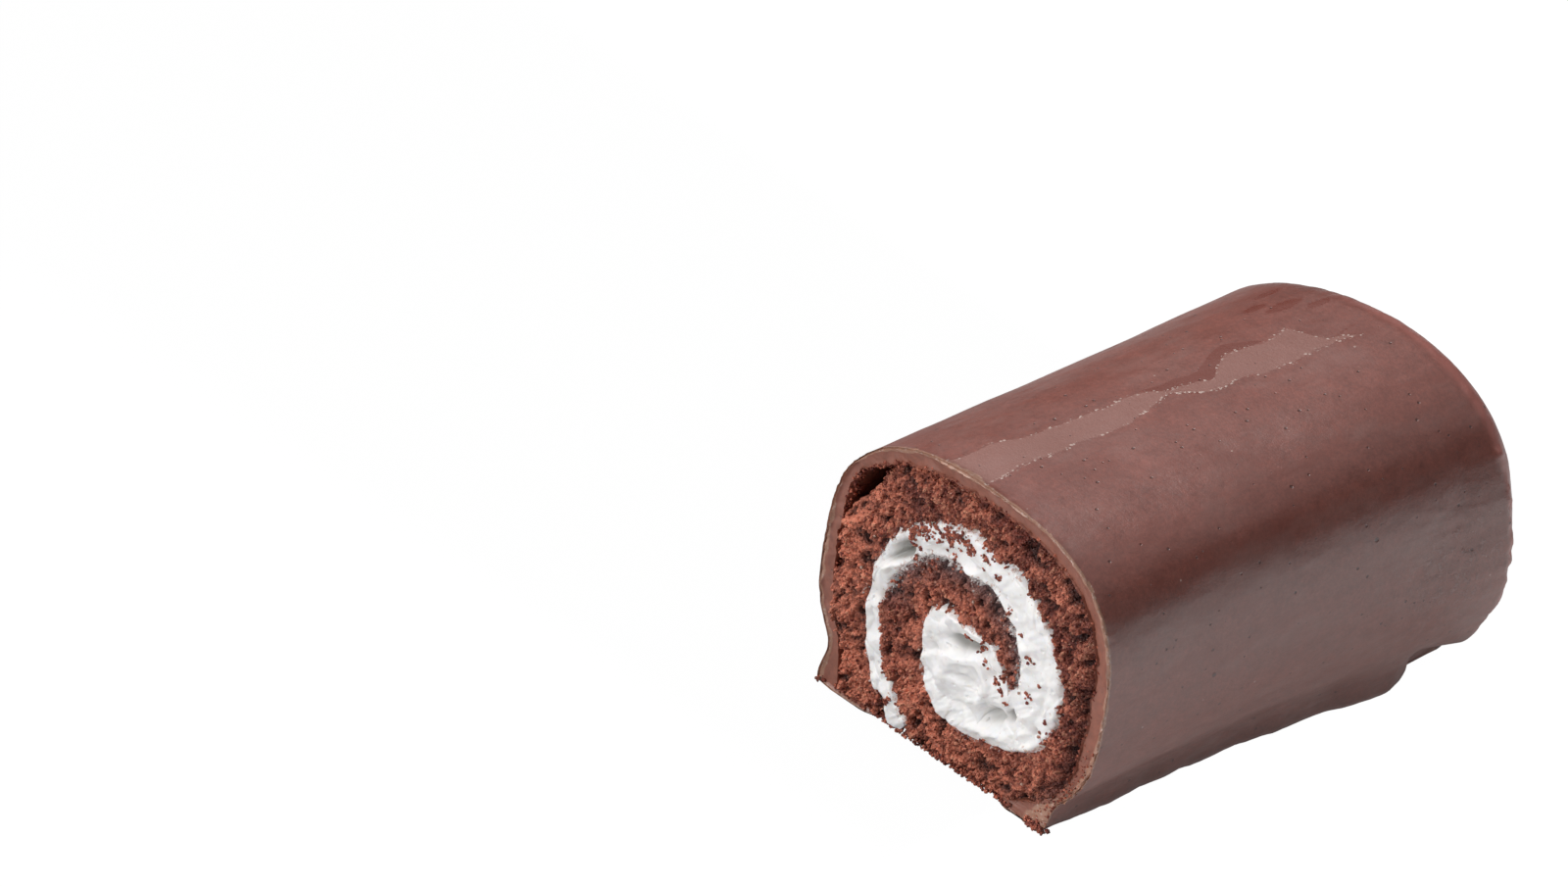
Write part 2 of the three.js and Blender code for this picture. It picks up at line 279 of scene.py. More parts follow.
def attribute(mesh, name, values):
    """Writes one number for each point of a mesh."""
    layer = mesh.attributes.new(name, "FLOAT", "POINT")
    layer.data.foreach_set("value", np.asarray(values, np.float32))


def enclosed(points, triangles):
    """Signed volume: the sum of a . (b x c) / 6 over the triangles."""
    a, b, c = (points[triangles[:, k]] for k in range(3))
    return float(np.einsum("ij,ij->i", a, np.cross(b, c)).sum() / 6)


def closed_skin(name, rows, near, far, layers, crease=None):
    """A closed mesh over rows[i, j] in mm, with near and far as the points that close its ends."""
    points = np.concatenate([np.array([near]), rows.reshape(-1, 3), np.array([far])]) * MM
    here = 1 + np.arange(rows[..., 0].size).reshape(rows.shape[:2])
    beside = np.roll(here, -1, axis=1)
    quads = np.stack([here[:-1], beside[:-1], beside[1:], here[1:]], -1).reshape(-1, 4)
    first_fan = np.stack([0 * here[0], beside[0], here[0]], -1)
    last_fan = np.stack([0 * here[0] + len(points) - 1, here[-1], beside[-1]], -1)
    flat = np.concatenate([quads[:, [0, 1, 2]], quads[:, [0, 2, 3]], first_fan, last_fan])
    if enclosed(points, flat) < 0:
        quads, first_fan, last_fan = quads[:, ::-1], first_fan[:, ::-1], last_fan[:, ::-1]
    mesh = bpy.data.meshes.new(name)
    mesh.from_pydata(points.tolist(), [], quads.tolist() + first_fan.tolist() + last_fan.tolist())
    for layer, values in layers.items():
        attribute(mesh, layer, np.concatenate([[values.flat[0]], values.ravel(), [values.flat[-1]]]))
    work = bmesh.new()
    work.from_mesh(mesh)
    bmesh.ops.remove_doubles(work, verts=work.verts, dist=1e-7)
    bmesh.ops.dissolve_degenerate(work, edges=work.edges, dist=1e-8)
    work.to_mesh(mesh)
    work.free()
    mesh.shade_smooth()
    if crease:
        mesh.set_sharp_from_angle(angle=np.radians(crease))
    triangles = sum(len(p.vertices) - 2 for p in mesh.polygons)
    print(f"{name}: {len(mesh.vertices)} points, {triangles} triangles")
    return show(name, mesh)


# %% [markdown]
# ## The camera
#
# The picture is taken from well back with a long lens, from the front right and above: the
# lines of the roll hardly converge. The camera stands 1.3 m away and looks past the roll's left
# side at half its height, so that the roll comes to stand right of the middle. The lens gives 13
# points a millimetre in a picture 1600 wide.

# %% Camera
AZIMUTH, ELEVATION = np.radians(50.9), np.radians(32.8)
LOOK_AT = np.array([-27.262, -16.564, 15.615])
CAMERA_AWAY = 1300.0
POINTS_PER_MM, PICTURE_WIDTH, SENSOR = 13.0, 1600, 36.0

level = np.cos(ELEVATION)
back = np.array([np.sin(AZIMUTH) * level, -np.cos(AZIMUTH) * level, np.sin(ELEVATION)])
camera_data = bpy.data.cameras.new("camera")
camera_data.sensor_width = SENSOR
camera_data.lens = POINTS_PER_MM * CAMERA_AWAY * SENSOR / PICTURE_WIDTH
camera_data.clip_start, camera_data.clip_end = 0.05, 20.0
camera = show("camera", camera_data)
camera.location = (LOOK_AT + back * CAMERA_AWAY) * MM
camera.rotation_euler = Vector(-back).to_track_quat("-Z", "Y").to_euler()
bpy.context.scene.camera = camera
print(f"lens {camera_data.lens:.0f} mm at {CAMERA_AWAY / 1000:.1f} m")

# %% [markdown]
# ## Light and floor
#
# The coating tells where the light was. Its top is bright under a square soft key light, high up
# and a little to the left. A light in front of the cut fills the crumb and the cream, and two
# weak ones behind and at the left lift the far shoulder. Below the top a dark band runs along
# the side where the skin mirrors the dim room. The floor is given its material further on.


# %% Lights and the floor's mesh
ROLL_MIDDLE = Vector((0, 0, 12))


def softbox(name, at, width, height, watts):
    """A rectangular soft light at a point in mm, facing the middle of the roll."""
    light = bpy.data.lights.new(name, "AREA")
    light.shape, light.size, light.size_y, light.energy = "RECTANGLE", width * MM, height * MM, watts
    holder = show(name, light)
    holder.location = Vector(at) * MM
    holder.rotation_euler = (ROLL_MIDDLE - Vector(at)).to_track_quat("-Z", "Y").to_euler()


softbox("key_light", (-185, -80, 560), 420, 420, 2.6)
softbox("light_behind", (0, 320, 510), 900, 600, 0.45)
softbox("light_from_left", (-420, 180, 390), 400, 400, 0.15)
softbox("front_light", (-150, -540, 220), 350, 350, 2.25)

world = bpy.data.worlds.new("dim_room")
bpy.context.scene.world = world
world.use_nodes = True
background = world.node_tree.nodes["Background"]
background.inputs["Color"].default_value = (0.9, 0.95, 1.0, 1)
background.inputs["Strength"].default_value = 0.05

HALF_FLOOR, UNDER_CAKE = 3.0, 0.00008
corners = [(x * HALF_FLOOR, y * HALF_FLOOR, 0) for x, y in ((-1, -1), (1, -1), (1, 1), (-1, 1))]
floor_mesh = bpy.data.meshes.new("floor")
floor_mesh.from_pydata(corners, [], [(0, 1, 2, 3)])
floor = show("floor", floor_mesh)
floor.location = (0, 0, -UNDER_CAKE)
bpy.context.scene.view_settings.view_transform = "Standard"

# %% [markdown]
# ## The scuffed strip
#
# A strip along the top of the coating was rubbed matt. It has two lobes with crooked edges and a
# thin tail, and beside the far lobe the chocolate is smooth and redder. The edges are two curves
# of X along the roll. The strip's attribute is the distance inside those edges in mm, negative
# outside, so that a material can roughen the edge with noise before cutting it.

# %% Scuffed strip
SCUFF_Y = [-21, -14, -8, -4, -1.5, 1.1, 3, 6.7, 9.6, 12.5, 13.2, 16.0]
SCUFF_RIGHT = [2.5, 2.2, 2.8, 2.2, 1.3, 3.5, 3.2, 3.7, 3.9, 3.9, 3.9, 4.0]
SCUFF_LEFT_Y = [-21, -16.4, -10.8, -6.8, -2.9, -1.3, 2.5, 4, 6, 9.2, 11.9, 12.3, 13.1, 16.0]
SCUFF_LEFT = [-2.3, -1.6, -0.4, -0.4, -0.1, 1.0, 1.9, 0.9, -0.3, 0.4, 0.1, 1.2, 3.0, 4.0]
SCUFF_END = SCUFF_Y[-1]
ONLY_ABOVE = 20
# Small red smudges beyond the far lobe: where they are, and how wide and long.
SMUDGES = [(-3.0, 14.0, 0.7, 1.9), (-4.4, 12.2, 0.5, 1.2), (-1.4, 16.3, 0.5, 1.3), (-6.0, 15.0, 0.5, 1.5)]


def scuff_edges(y):
    return np.interp(y, SCUFF_LEFT_Y, SCUFF_LEFT), np.interp(y, SCUFF_Y, SCUFF_RIGHT)


def on_top(depth, z):
    """The depth on the top of the roll, kept within 3 mm; below the top it is outside."""
    return np.where(z > ONLY_ABOVE, np.clip(depth, -3, 3), -3.0)


def scuff_depth(x, y, z):
    """Distance inside the strip's two edges and its far end, in mm."""
    wobble = 0.24 * waves(y / 1.3, 3, 41)
    left, right = scuff_edges(y)
    inside = np.minimum(right + wobble - x, x - left - wobble)
    return on_top(np.minimum(inside, SCUFF_END - y), z)


def glaze_depth(x, y, z):
    """Distance inside the smooth red patch on the left of the far lobe and under its near tip."""
    left, right = scuff_edges(y)
    wide = 1.5 * ease(-4.5, 1.0, y) * ease(11.0, 4.5, y) + 0.25 * waves(y / 1.4, 8, 44)
    beside = wide - np.abs(left - 0.4 * wide - x) * 1.3
    marks = np.maximum(beside - 0.3, 0.55 - np.hypot((y + 0.6) / 3.2, (x - right + 0.25) / 0.75))
    past_scratch = np.clip(y - 17.5, 0, 1) + np.clip(12.0 - y, 0, 1)
    marks = np.maximum(marks, 0.16 - np.abs(x - 3.5 + 0.22 * (y - 12.5)) - 3 * past_scratch)
    for at_x, at_y, wide, long in SMUDGES:
        marks = np.maximum(marks, 0.45 * (1 - np.hypot((x - at_x) / wide, (y - at_y) / long)))
    return on_top(marks, z)


depth_there = scuff_depth(np.array(1.0), np.array(-15.0), np.array(28.0))
print(f"the strip is {depth_there:.2f} mm deep at a point inside")

# %% [markdown]
# ## The coating
#
# The coating is one skin of chocolate with a hollow inside, so its surface can be followed like
# a thread: from the bottom of the hollow up its wall, over the cut rim, back along the outside,
# round the shoulder and in over the far end. Each row of points runs once round the section.
# The relief is all small: dents from handling, a proud lip where the knife pushed the skin up,
# a rougher patch near the far end, a seam above the far foot, and the turns of the roll under
# the chocolate of the end.

# %% Relief of the skin and the far end
MEAN_REACH = 14.0
SEAM_Z = 0.62
TURN_PITCH, TURN_HEIGHT, RIM, RECESS = 4.6, 0.62, 1.5, 0.8


def seam_wander(y):
    return 0.15 * waves(y / 1.1, 0, 65)


def skin_relief(phi, y):
    """Height of the small relief on the outside in mm: ripples, a rough patch, foot and seam."""
    degrees = np.degrees(phi)
    arc = degrees * 0.28
    lower = ease(32, 12, degrees) * ease(-60, -40, degrees)
    ripples = (0.035 + 0.03 * lower) * rough(arc / 3.1, y / 5.5, 61)
    ripples = ripples + 0.014 * rough(arc / 0.8, y / 1.3, 62, 2)
    patch = bell(degrees - 2, 17) * bell(y - 13.0, 4.5)
    pocks = 0.085 * patch * rough((arc + 0.6 * y) / 0.8, (y - 0.6 * arc) / 1.1, 63)
    low = ease(-36, -46, degrees) * ease(-75, -60, degrees)
    foot = 0.10 * low * rough(arc / 1.4, y / 1.8, 64)
    above = POLE[1] + outside(phi, y) * np.sin(phi)
    along = ease(13.8, 15.0, y) * ease(19.6, 18.6, y) * (degrees < 0) * (degrees > -80)
    return ripples + pocks + foot - 0.34 * bell(above - SEAM_Z - seam_wander(y), 0.17) * along


def end_relief(phi, r, reach):
    """Height of the far end: a recess inside the rim, and over it a broken, wandering spiral ridge.

    The ridge is a bell across each turn; a turn is one pitch of reach or once round.
    """
    inside, x, z = reach - r, r * np.cos(phi), r * np.sin(phi)
    wander = 0.75 * rough(x / 6, z / 6, 66, 2)
    turns = (r + wander) / TURN_PITCH - phi / (2 * np.pi)
    away = (turns - np.floor(turns) - 0.5) * TURN_PITCH
    kept = 0.75 + 0.6 * waves(x / 4.5, z / 4.5, 67)
    shown = ease(1.2, 3.2, r) * ease(12.0, 9.0, r) * np.clip(kept, 0, 1.1)
    ridge = TURN_HEIGHT * shown * bell(away, 0.62 + 0.2 * waves(x / 2, z / 2, 68))
    sunk = swell(np.degrees(phi), (200, 40, 0.25)) * ease(4, 8, r) * ease(RIM, RIM + 2, inside)
    return ridge * ease(RIM, RIM + 1.5, inside) - RECESS * ease(0, RIM, inside) - sunk


def far_y(phi):
    """Y of the far end's edge: it leans out below the pole and in above it."""
    s = np.sin(phi)
    return FAR_Y + np.where(s < 0, -0.6 * s, -0.2 * s)


def shoulder(phi):
    """Radius of the turn from the side into the far end, widest at the top left."""
    return 2.0 + swell(np.degrees(phi), (122, 38, 3.0), (45, 25, 0.8))


print("shoulder radius at the right and at the top left, mm:", shoulder(np.radians([0, 122])).round(1))


# %% Rows of the hollow and the cut rim
def column(values):
    return np.asarray(values, float)[:, None]


def soften_corners(phi, left, right):
    """A little less reach at the two corners of the base, so that the foot ends in a round edge."""
    right_tip, left_tip = (np.degrees(np.arctan2(-POLE[1], x)) for x in (right, left))
    return swell(np.degrees(phi), (right_tip, 1.3, 0.26), (left_tip, 1.9, 0.42))


wall_phi = directions(WALL_LEFT, WALL_RIGHT, FILM)
cut_phi = directions(foot_left(CUT_Y), foot_right(CUT_Y), 0)
wall_arc, cut_arc, cut_degrees = MEAN_REACH * wall_phi, MEAN_REACH * cut_phi, np.degrees(cut_phi)

end_shares = column([0.35, 0.7, 1.0])
end_rows = section_points(wall_phi, end_shares * wall(wall_phi), CAVITY_END)

wall_y = column([12, 4, -4, -10, -14, -16, -17.4, -18.4, -19.1, -19.7, -20.2, -20.6, -20.8])
ragged_wall = rough(wall_arc / 0.8, wall_y / 0.9, 71) - np.abs(rough(wall_arc / 0.35, wall_y / 0.4, 78, 2))
ragged_wall = 0.14 * ragged_wall * ease(-17, -20.5, wall_y)
wall_rows = section_points(wall_phi, wall(wall_phi) + ragged_wall, wall_y)

# Across the cut rim: ragged inside, chipped, a little hollow, and proud at its outer lip.
across = column([0.0, 0.06, 0.15, 0.27, 0.4, 0.53, 0.65, 0.75, 0.83, 0.9, 0.95, 1.0])
rim_phi = wall_phi + (cut_phi - wall_phi) * across
rim_arc = MEAN_REACH * rim_phi
inner_edge = wall(wall_phi) + ragged_wall[-1:]
outer_edge = outside(cut_phi, CUT_Y) - soften_corners(cut_phi, foot_left(CUT_Y), foot_right(CUT_Y))
rim_reach = inner_edge + (outer_edge - inner_edge) * across
torn_low = swell(np.degrees(rim_phi), (-36, 18, 0.07))
chips = (0.05 + torn_low) * rough(rim_arc / 0.7, across * 3, 72)
chips = chips + 0.08 * waves(rim_arc / 2.2, across * 1.5, 73)
lip_high = 0.12 + 0.10 * waves(cut_arc / 2.4, 0, 74)
lip_high = lip_high + (0.10 + swell(cut_degrees, (-36, 18, 0.14))) * rough(cut_arc / 0.5, 0, 79)
lip_high = np.clip(lip_high, 0, 0.4)
in_wedge = ease(-45, -60, wrapped(cut_degrees)) * ease(-100, -85, wrapped(cut_degrees))
hollow = (0.10 * np.sin(np.pi * across) + 0.26 * (1 - across) ** 2) * (1 - 0.75 * in_wedge)
rim_y = CUT_Y + 0.14 + chips + hollow + 0.22 * ease(0.88, 1.0, across) - lip_high * bell(across - 0.90, 0.10)
rim_rows = section_points(rim_phi, rim_reach, rim_y)
print("rows of the hollow, the wall and the rim:", len(end_rows), len(wall_rows), len(rim_rows))


# %% Rows of the outside and the far end
SIDE_END, DRAWN_IN = 16.0, 0.8


def broken_film(x):
    """How far the thin film under the sponge is broken back from the cut, in mm."""
    torn_back = 0.75 + 0.3 * waves(x / 1.3, 0, 76) + 0.15 * waves(x / 0.4, 0, 77)
    return torn_back * ease(-12.5, -10.0, x) * ease(5.2, 3.6, x)


near_cut = np.array([0.06, 0.16, 0.28, 0.42, 0.58])
side_y = column(np.concatenate([CUT_Y + near_cut, np.arange(CUT_Y + 0.8, SIDE_END, 0.5)]))
side_phi = directions(foot_left(side_y[:, 0]), foot_right(side_y[:, 0]), 0)
side_reach = outside(side_phi, side_y) + skin_relief(side_phi, side_y)
side_reach = side_reach - soften_corners(side_phi, foot_left(side_y), foot_right(side_y))
proud = (0.5 * lip_high + swell(cut_degrees, (87, 9, 0.16))) * bell(side_y - CUT_Y, 0.42)
side_reach = np.minimum(side_reach + proud, to_height(side_phi, 0.0))
side_rows = section_points(side_phi, side_reach, side_y)

# Round the shoulder, which draws in as it goes back, with a torn ledge and a nick on the right.
turned = column(np.linspace(0, 90, 18))
turn = np.radians(turned)
far_phi = directions(foot_left(18.0), foot_right(18.0), 0)
far_degrees = wrapped(np.degrees(far_phi))
far_round = shoulder(far_phi)
turn_y = np.maximum(far_y(far_phi) - far_round * (1 - np.sin(turn)), SIDE_END + 0.1 + turned / 90)
turn_reach = outside(far_phi, turn_y) - DRAWN_IN * far_round * (1 - np.cos(turn))
turn_reach = turn_reach + skin_relief(far_phi, turn_y)
torn = ease(-22, -10, far_degrees) * ease(22, 12, far_degrees)
torn_from = turned + 9 * waves(far_degrees / 5, 0, 69)
ledge = -0.34 * torn * ease(26, 34, torn_from) * ease(85, 60, turned)
frayed = 0.16 * (torn + 0.35) * rough(far_degrees / 3.2, turned / 26, 70) * bell(turned - 34, 24)
nick = swell(far_degrees, (25, 1.6, 0.3)) * bell(turned - 22, 14)
turn_reach = np.minimum(turn_reach + ledge + frayed + nick, to_height(far_phi, 0.0))
turn_rows = section_points(far_phi, turn_reach, turn_y)

# In over the far end, towards a round middle.
share = column(np.linspace(0.98, 0.03, 38))
edge_reach = turn_reach[-1:]
round_reach = np.minimum(13, edge_reach)
over_r = share * (round_reach + (edge_reach - round_reach) * ease(0.3, 1, share))
over_y = FAR_Y + (far_y(far_phi) - FAR_Y) * share
over_y = over_y + end_relief(far_phi, over_r, outside(far_phi, 19.0) - DRAWN_IN * far_round)
over_x, over_z = over_r * np.cos(far_phi), POLE[1] + over_r * np.sin(far_phi)
over_y = over_y + 0.14 * rough(over_x / 2.3, over_z / 2.3, 75)
over_y = over_y + 0.04 * rough(over_x / 0.7, over_z / 0.7, 80, 2)
over_rows = section_points(far_phi, over_r, over_y)

coating_rows = np.concatenate([end_rows, wall_rows, rim_rows, side_rows, turn_rows, over_rows])
px, py, pz = coating_rows[..., 0], coating_rows[..., 1].copy(), coating_rows[..., 2]
fading = np.clip(1 - (py - CUT_Y) / 8, 0, 1)
coating_rows[..., 1] = py + broken_film(px) * ease(0.7, 0.45, pz) * fading
print("coating rows:", coating_rows.shape)

# %% [markdown]
# ## What the coating's material has to know
#
# Attributes tell the material where the surface is cut, how pale the lip is, where the strip and
# the red glaze lie, where the side was scraped, and where a painted rim light runs along the far
# edge. They are arrays of the same shape as the rows.

# %% The coating's attributes and its mesh
rim_start = len(end_rows) + len(wall_rows)
rim_part = slice(rim_start, rim_start + len(rim_rows))
side_part = slice(rim_part.stop, rim_part.stop + len(side_rows))
turn_part = slice(side_part.stop, side_part.stop + len(turn_rows))

cut_share = 0 * px
cut_share[:rim_start] = 1
cut_share[rim_part] = 0.75 + 0.25 * (1 - across)
outer_row = cut_share == 0
strip = np.where(outer_row, scuff_depth(px, py, pz), -3.0)

around_degrees = np.degrees(np.arctan2(pz - POLE[1], px))
ahead = py - CUT_Y
flake = swell(around_degrees, (88, 9, 1.25)) * ease(0.7, 0.35, ahead + 0.25 * waves(px / 0.5, 0, 43))
lip_layer = np.maximum(ease(0.36, 0.12, ahead), flake) * outer_row
low_right = swell(cut_degrees, (-34, 17, 0.62)) + 0.10 * waves(cut_arc / 0.9, 0, 92)
lip_layer[rim_part] = ease(0.66 - low_right, 0.90 - low_right, across)
at_seam = bell(pz - SEAM_Z - 0.43 - seam_wander(py), 0.2) * ease(13.6, 15.0, py) * (px > 5)
lip_layer[side_part] = np.maximum(lip_layer, 0.6 * at_seam)[side_part]
# Below the far seam the underside is painted lighter as tan lip and red glaze: partly the broken chocolate's
# reddish colour, partly painted light where it faces the table in shade.
painted_light_under_seam = outer_row & (px > 5) & (py > 14) & (pz < SEAM_Z)
lip_layer = np.where(painted_light_under_seam, 0.42, lip_layer)

glaze = np.where(outer_row, glaze_depth(px, py, pz), -3.0)
glaze = np.where(painted_light_under_seam, 0.3, glaze)
glaze[turn_part] = np.maximum(glaze[turn_part], 0.55 * torn * ease(22, 32, torn_from) - 0.25)
worn_side = bell(around_degrees, 15) * bell(py - 14.5, 5.0) * outer_row
# Painted rim light: a warmer, lighter band along the far edge, round the middle of the shoulder's turn.
painted_rim_light = 0 * px
painted_rim_light[turn_part] = ease(6, 26, turned) * ease(86, 66, turned)
painted_rim_light[turn_part] *= ease(-78, -60, far_degrees) * ease(110, 80, far_degrees)

coating_layers = {
    "cut": cut_share, "strip": strip, "glaze": glaze,
    "lip": lip_layer, "worn_side": worn_side, "painted_rim_light": painted_rim_light,
}
near_end, far_end = (0, CAVITY_END, POLE[1]), (0, FAR_Y - RECESS, POLE[1])
coating = closed_skin("coating_skin", coating_rows, near_end, far_end, coating_layers, crease=38)

# %% [markdown]
# ## The path of the rolled sheet
#
# The sheet winds clockwise from the bottom left corner: up the left side, over the top, down the
# right, along the base, and then a second, tighter turn round the core of cream that ends in a
# thin tip. Both of its sides are reaches from the middle of the winding. The outer side of the
# first turn is the coating's wall; the others are smooth curves through one value every 44
# degrees.

# %% Sides of the sheet
START, STEP, INNER_LAP, TIP = 220.0, 44.0, -132.0, -352.0
SHEET_INSIDE = [13.6, 12.4, 12.2, 13.0, 13.1, 10.2, 6.8, 5.7, 6.6, 5.7, 5.8, 4.2, 4.6, 4.7]
SHEET_OUTSIDE = [11.2, 10.5, 9.9, 9.5, 8.95, 5.6]
SHEET_INSET, SHEET_BASE = 0.15, 0.3


def wall_from_core(degrees):
    """Reach from the core to the drawn-in wall: the wall's points, read by their angle."""
    phi = np.radians(np.arange(0, 360, 0.25))
    r = wall(phi, SHEET_INSET)
    x, z = r * np.cos(phi) - CORE[0], POLE[1] + r * np.sin(phi) - CORE[1]
    angle = np.degrees(np.arctan2(z, x)) % 360
    order = np.argsort(angle)
    return np.interp(degrees % 360, angle[order], np.hypot(x, z)[order], period=360)


def sheet_inside(degrees):
    return through(SHEET_INSIDE, (START - degrees) / STEP)


def sheet_outside(degrees):
    """The wall on the first turn, the inner lap's curve on the second, never below the base."""
    s = np.sin(np.radians(degrees))
    to_base = np.where(s < 0, (SHEET_BASE - CORE[1]) / s, FAR_AWAY)
    lap = through(SHEET_OUTSIDE, (INNER_LAP - degrees) / STEP)
    return np.minimum(np.where(degrees > INNER_LAP, wall_from_core(degrees), lap), to_base)


def from_core(degrees, r):
    a = np.radians(degrees)
    return CORE[0] + r * np.cos(a), CORE[1] + r * np.sin(a)


print(f"sheet {sheet_outside(np.array(90.0)) - sheet_inside(np.array(90.0)):.1f} mm thick at the top")

# %% [markdown]
# ## The sponge
#
# Sponge is a foam of burst bubbles. A knife leaves it as a field of small clumps with dark pits
# between them, so the cut face gets its relief from distances to scattered points: near a point
# the surface is a dome, and between points it drops. The piece is a bar that follows the sheet:
# each row of points goes across the cut face, back along the outer side, across the hidden far
# face, and forward again along the inner side.

# %% Relief of the crumb
# Open holes in the crumb: where each one is, and how wide.
HOLES = [(-10.1, 1.7, 0.45), (-6.0, 2.0, 0.5), (5.5, 16.2, 0.4), (-12.6, 9.0, 0.35), (11.3, 11.0, 0.4)]
# Clumps, grains and grit: pitch, seed, height of the domes, step from one to the next, and tint.
LUMP_SIZES = [(1.25, 86, 0.20, 0.17, 0.0), (0.55, 83, 0.27, 0.20, 0.30), (0.25, 88, 0.20, 0.17, 0.35)]


def domes(x, z, pitch, seed):
    """Round lumps, one a cell: sqrt(1 - (distance / 0.75 cell)^2), and each lump's own number."""
    d, own = grains(x / pitch, z / pitch, seed)
    return np.sqrt(np.clip(1 - (d / 0.75) ** 2, 0, 1)), own


def crumb_relief(x, z):
    """Height of the crumb in mm, all three sizes of lump less the open pits, and its tint with painted
    light.
    """
    bent_x = x + 0.16 * waves(x / 0.7, z / 0.7, 81) + 0.04 * waves(x / 0.25, z / 0.25, 84)
    bent_z = z + 0.16 * waves(x / 0.7, z / 0.7, 82) + 0.04 * waves(x / 0.25, z / 0.25, 85)
    height = -0.74 * ease(0.05, 1.05, rough(x / 0.9, z / 0.9, 90))
    tint = 0.50 * rough(x / 2.1, z / 2.1, 91, 2)
    for pitch, seed, dome_high, step, tinted in LUMP_SIZES:
        dome, own = domes(bent_x, bent_z, pitch, seed)
        height = height + dome_high * (dome - 0.75) + step * own
        tint = tint + tinted * own
    for at_x, at_z, size in HOLES:
        height = height - 1.1 * np.exp(-(((x - at_x) ** 2 + (z - at_z) ** 2) / size**2) ** 1.5)
    # Painted light: the tint is raised on the left, in the middle of the inner lap and low down.
    painted_light = 0.9 * bell(x + 14, 3.2) + 1.15 * bell(x + 1.5, 6.5) * bell(z - 9.5, 5.0)
    return height, tint + painted_light + 0.65 * bell(z, 4.0) * ease(-12, -6, x)


spread, _ = crumb_relief(*np.meshgrid(np.linspace(-5, 5, 200), np.linspace(5, 15, 200)))
print(f"crumb relief from {spread.min():.2f} to {spread.max():.2f} mm")


# %% Rows of the sponge
SHEET_ROWS, SHEET_COLUMNS = 1440, 56


def sheet_edges(a):
    """Both sides at each turn a, in degrees, ragged, with the gap under the coating at the top left."""
    first = a > -92
    gap = 0.25 * ease(118, 96, a) * ease(-40, -22, a)
    gap = gap + swell(a, (139, 10.5, 1.6), (32, 36, 0.40), (-44, 14, -0.45), (190, 24, -0.12))
    outer, inner = sheet_outside(a) - gap * first, sheet_inside(a)
    near_tip = ease(TIP + 26, TIP - 3, a)
    middle = 0.5 * (outer + inner)
    half = 0.5 * np.maximum(outer - inner, 0.4) * np.sqrt(np.clip(1 - near_tip**2, 0, 1))
    outer = np.where(a < TIP + 26, middle + half, outer)
    inner = np.where(a < TIP + 26, middle - half, np.minimum(inner, outer - 0.3))
    arc = np.radians(a) * inner
    ragged = (0.22 + swell(a, (88, 26, 0.42))) * waves(arc / 1.1, 0, 101)
    ragged = ragged - swell(a, (88, 22, 0.35)) * np.abs(waves(arc / 0.5, 0, 109))
    ragged = ragged + 0.20 * waves(arc / 0.45, 0, 102) + 0.13 * waves(arc / 0.2, 0, 107)
    ragged_outer = 0.18 * waves(arc / 0.8, 0, 103) + 0.20 * waves(arc / 0.3, 0, 104)
    return outer + ragged_outer * np.where(first, 0.35, 1.0), inner + ragged


fine_turn = np.linspace(START, TIP - 3, 6000)
middle_reach = 0.5 * (sheet_outside(fine_turn) + sheet_inside(fine_turn))
travelled = np.cumsum(middle_reach * np.radians(fine_turn[0] - fine_turn[1]))
sheet_turn = np.interp(np.linspace(travelled[0], travelled[-1], SHEET_ROWS), travelled, fine_turn)
sheet_v = np.linspace(0, 1, SHEET_COLUMNS)

outer_side, inner_side = sheet_edges(sheet_turn)
turn_grid = sheet_turn[:, None]
thick = (outer_side - inner_side)[:, None]
face_x, face_z = from_core(turn_grid, inner_side[:, None] + thick * sheet_v)
under_edge = 0.06 + 0.20 * np.abs(waves(face_x / 0.6, 0, 105)) + 0.08 * np.abs(waves(face_x / 0.22, 0, 108))
face_z = np.maximum(face_z, under_edge)
from_outer, from_inner = (1 - sheet_v) * thick, sheet_v * thick
under_rim = 1.25 * (ease(150, 110, turn_grid) - ease(-18, -44, turn_grid)) + 0.12
under_rim = under_rim * (turn_grid > -60) + 0.03 - swell(turn_grid, (190, 26, 0.45))
fall = under_rim * bell(from_outer, 0.7) + 0.25 * (bell(from_outer, 0.16) + bell(from_inner, 0.16))
broad = 0.20 * rough(face_x / 3.2, face_z / 3.2, 106, 2)
height, tint = crumb_relief(face_x, face_z)
face_y = np.maximum(CUT_Y + 0.24 + fall + broad - height, CUT_Y - 0.4)
print(f"cut face of the sponge {face_x.shape}, relief {height.min():.2f} to {height.max():.2f} mm")

# %% The sponge's mesh
SIDE_SHARES = np.array([0.02, 0.06, 0.2, 1.0])
BACK_Y, CLEAR_Z = CAVITY_END - 0.3, 0.5


def bar_rows(x, y_front, z):
    """Each row across the front, back down one side in steps, across the back, and forward again.

    Behind the front the underside rises to CLEAR_Z, clear of the film of chocolate beneath.
    """
    steps = SIDE_SHARES[None, :]
    raised = np.maximum(z, CLEAR_Z)

    def side(one):
        y = y_front[:, one] + (BACK_Y - y_front[:, one]) * steps
        return x[:, one] + 0 * steps, y, z[:, one] + (raised[:, one] - z[:, one]) * ease(0, 0.06, steps)

    right, left = side(slice(-1, None)), side(slice(0, 1))
    few = [x.shape[1] * 2 // 3, x.shape[1] // 3]
    back = x[:, few], np.full((len(x), 2), BACK_Y), raised[:, few]
    front = x, y_front, z
    parts = [np.concatenate([front[k], right[k], back[k], left[k][:, ::-1]], axis=1) for k in range(3)]
    return np.stack(parts, -1)


def bar(name, x, y_front, z, layers):
    """A bar as a closed mesh; each layer is the front's values and one value for what is hidden."""
    rows = bar_rows(x, y_front, z)
    hidden = rows.shape[1] - x.shape[1]
    full = {
        layer: np.concatenate([values, np.full((len(x), hidden), float(fill))], axis=1)
        for layer, (values, fill) in layers.items()
    }
    return closed_skin(name, rows, rows[0].mean(axis=0), rows[-1].mean(axis=0), full)


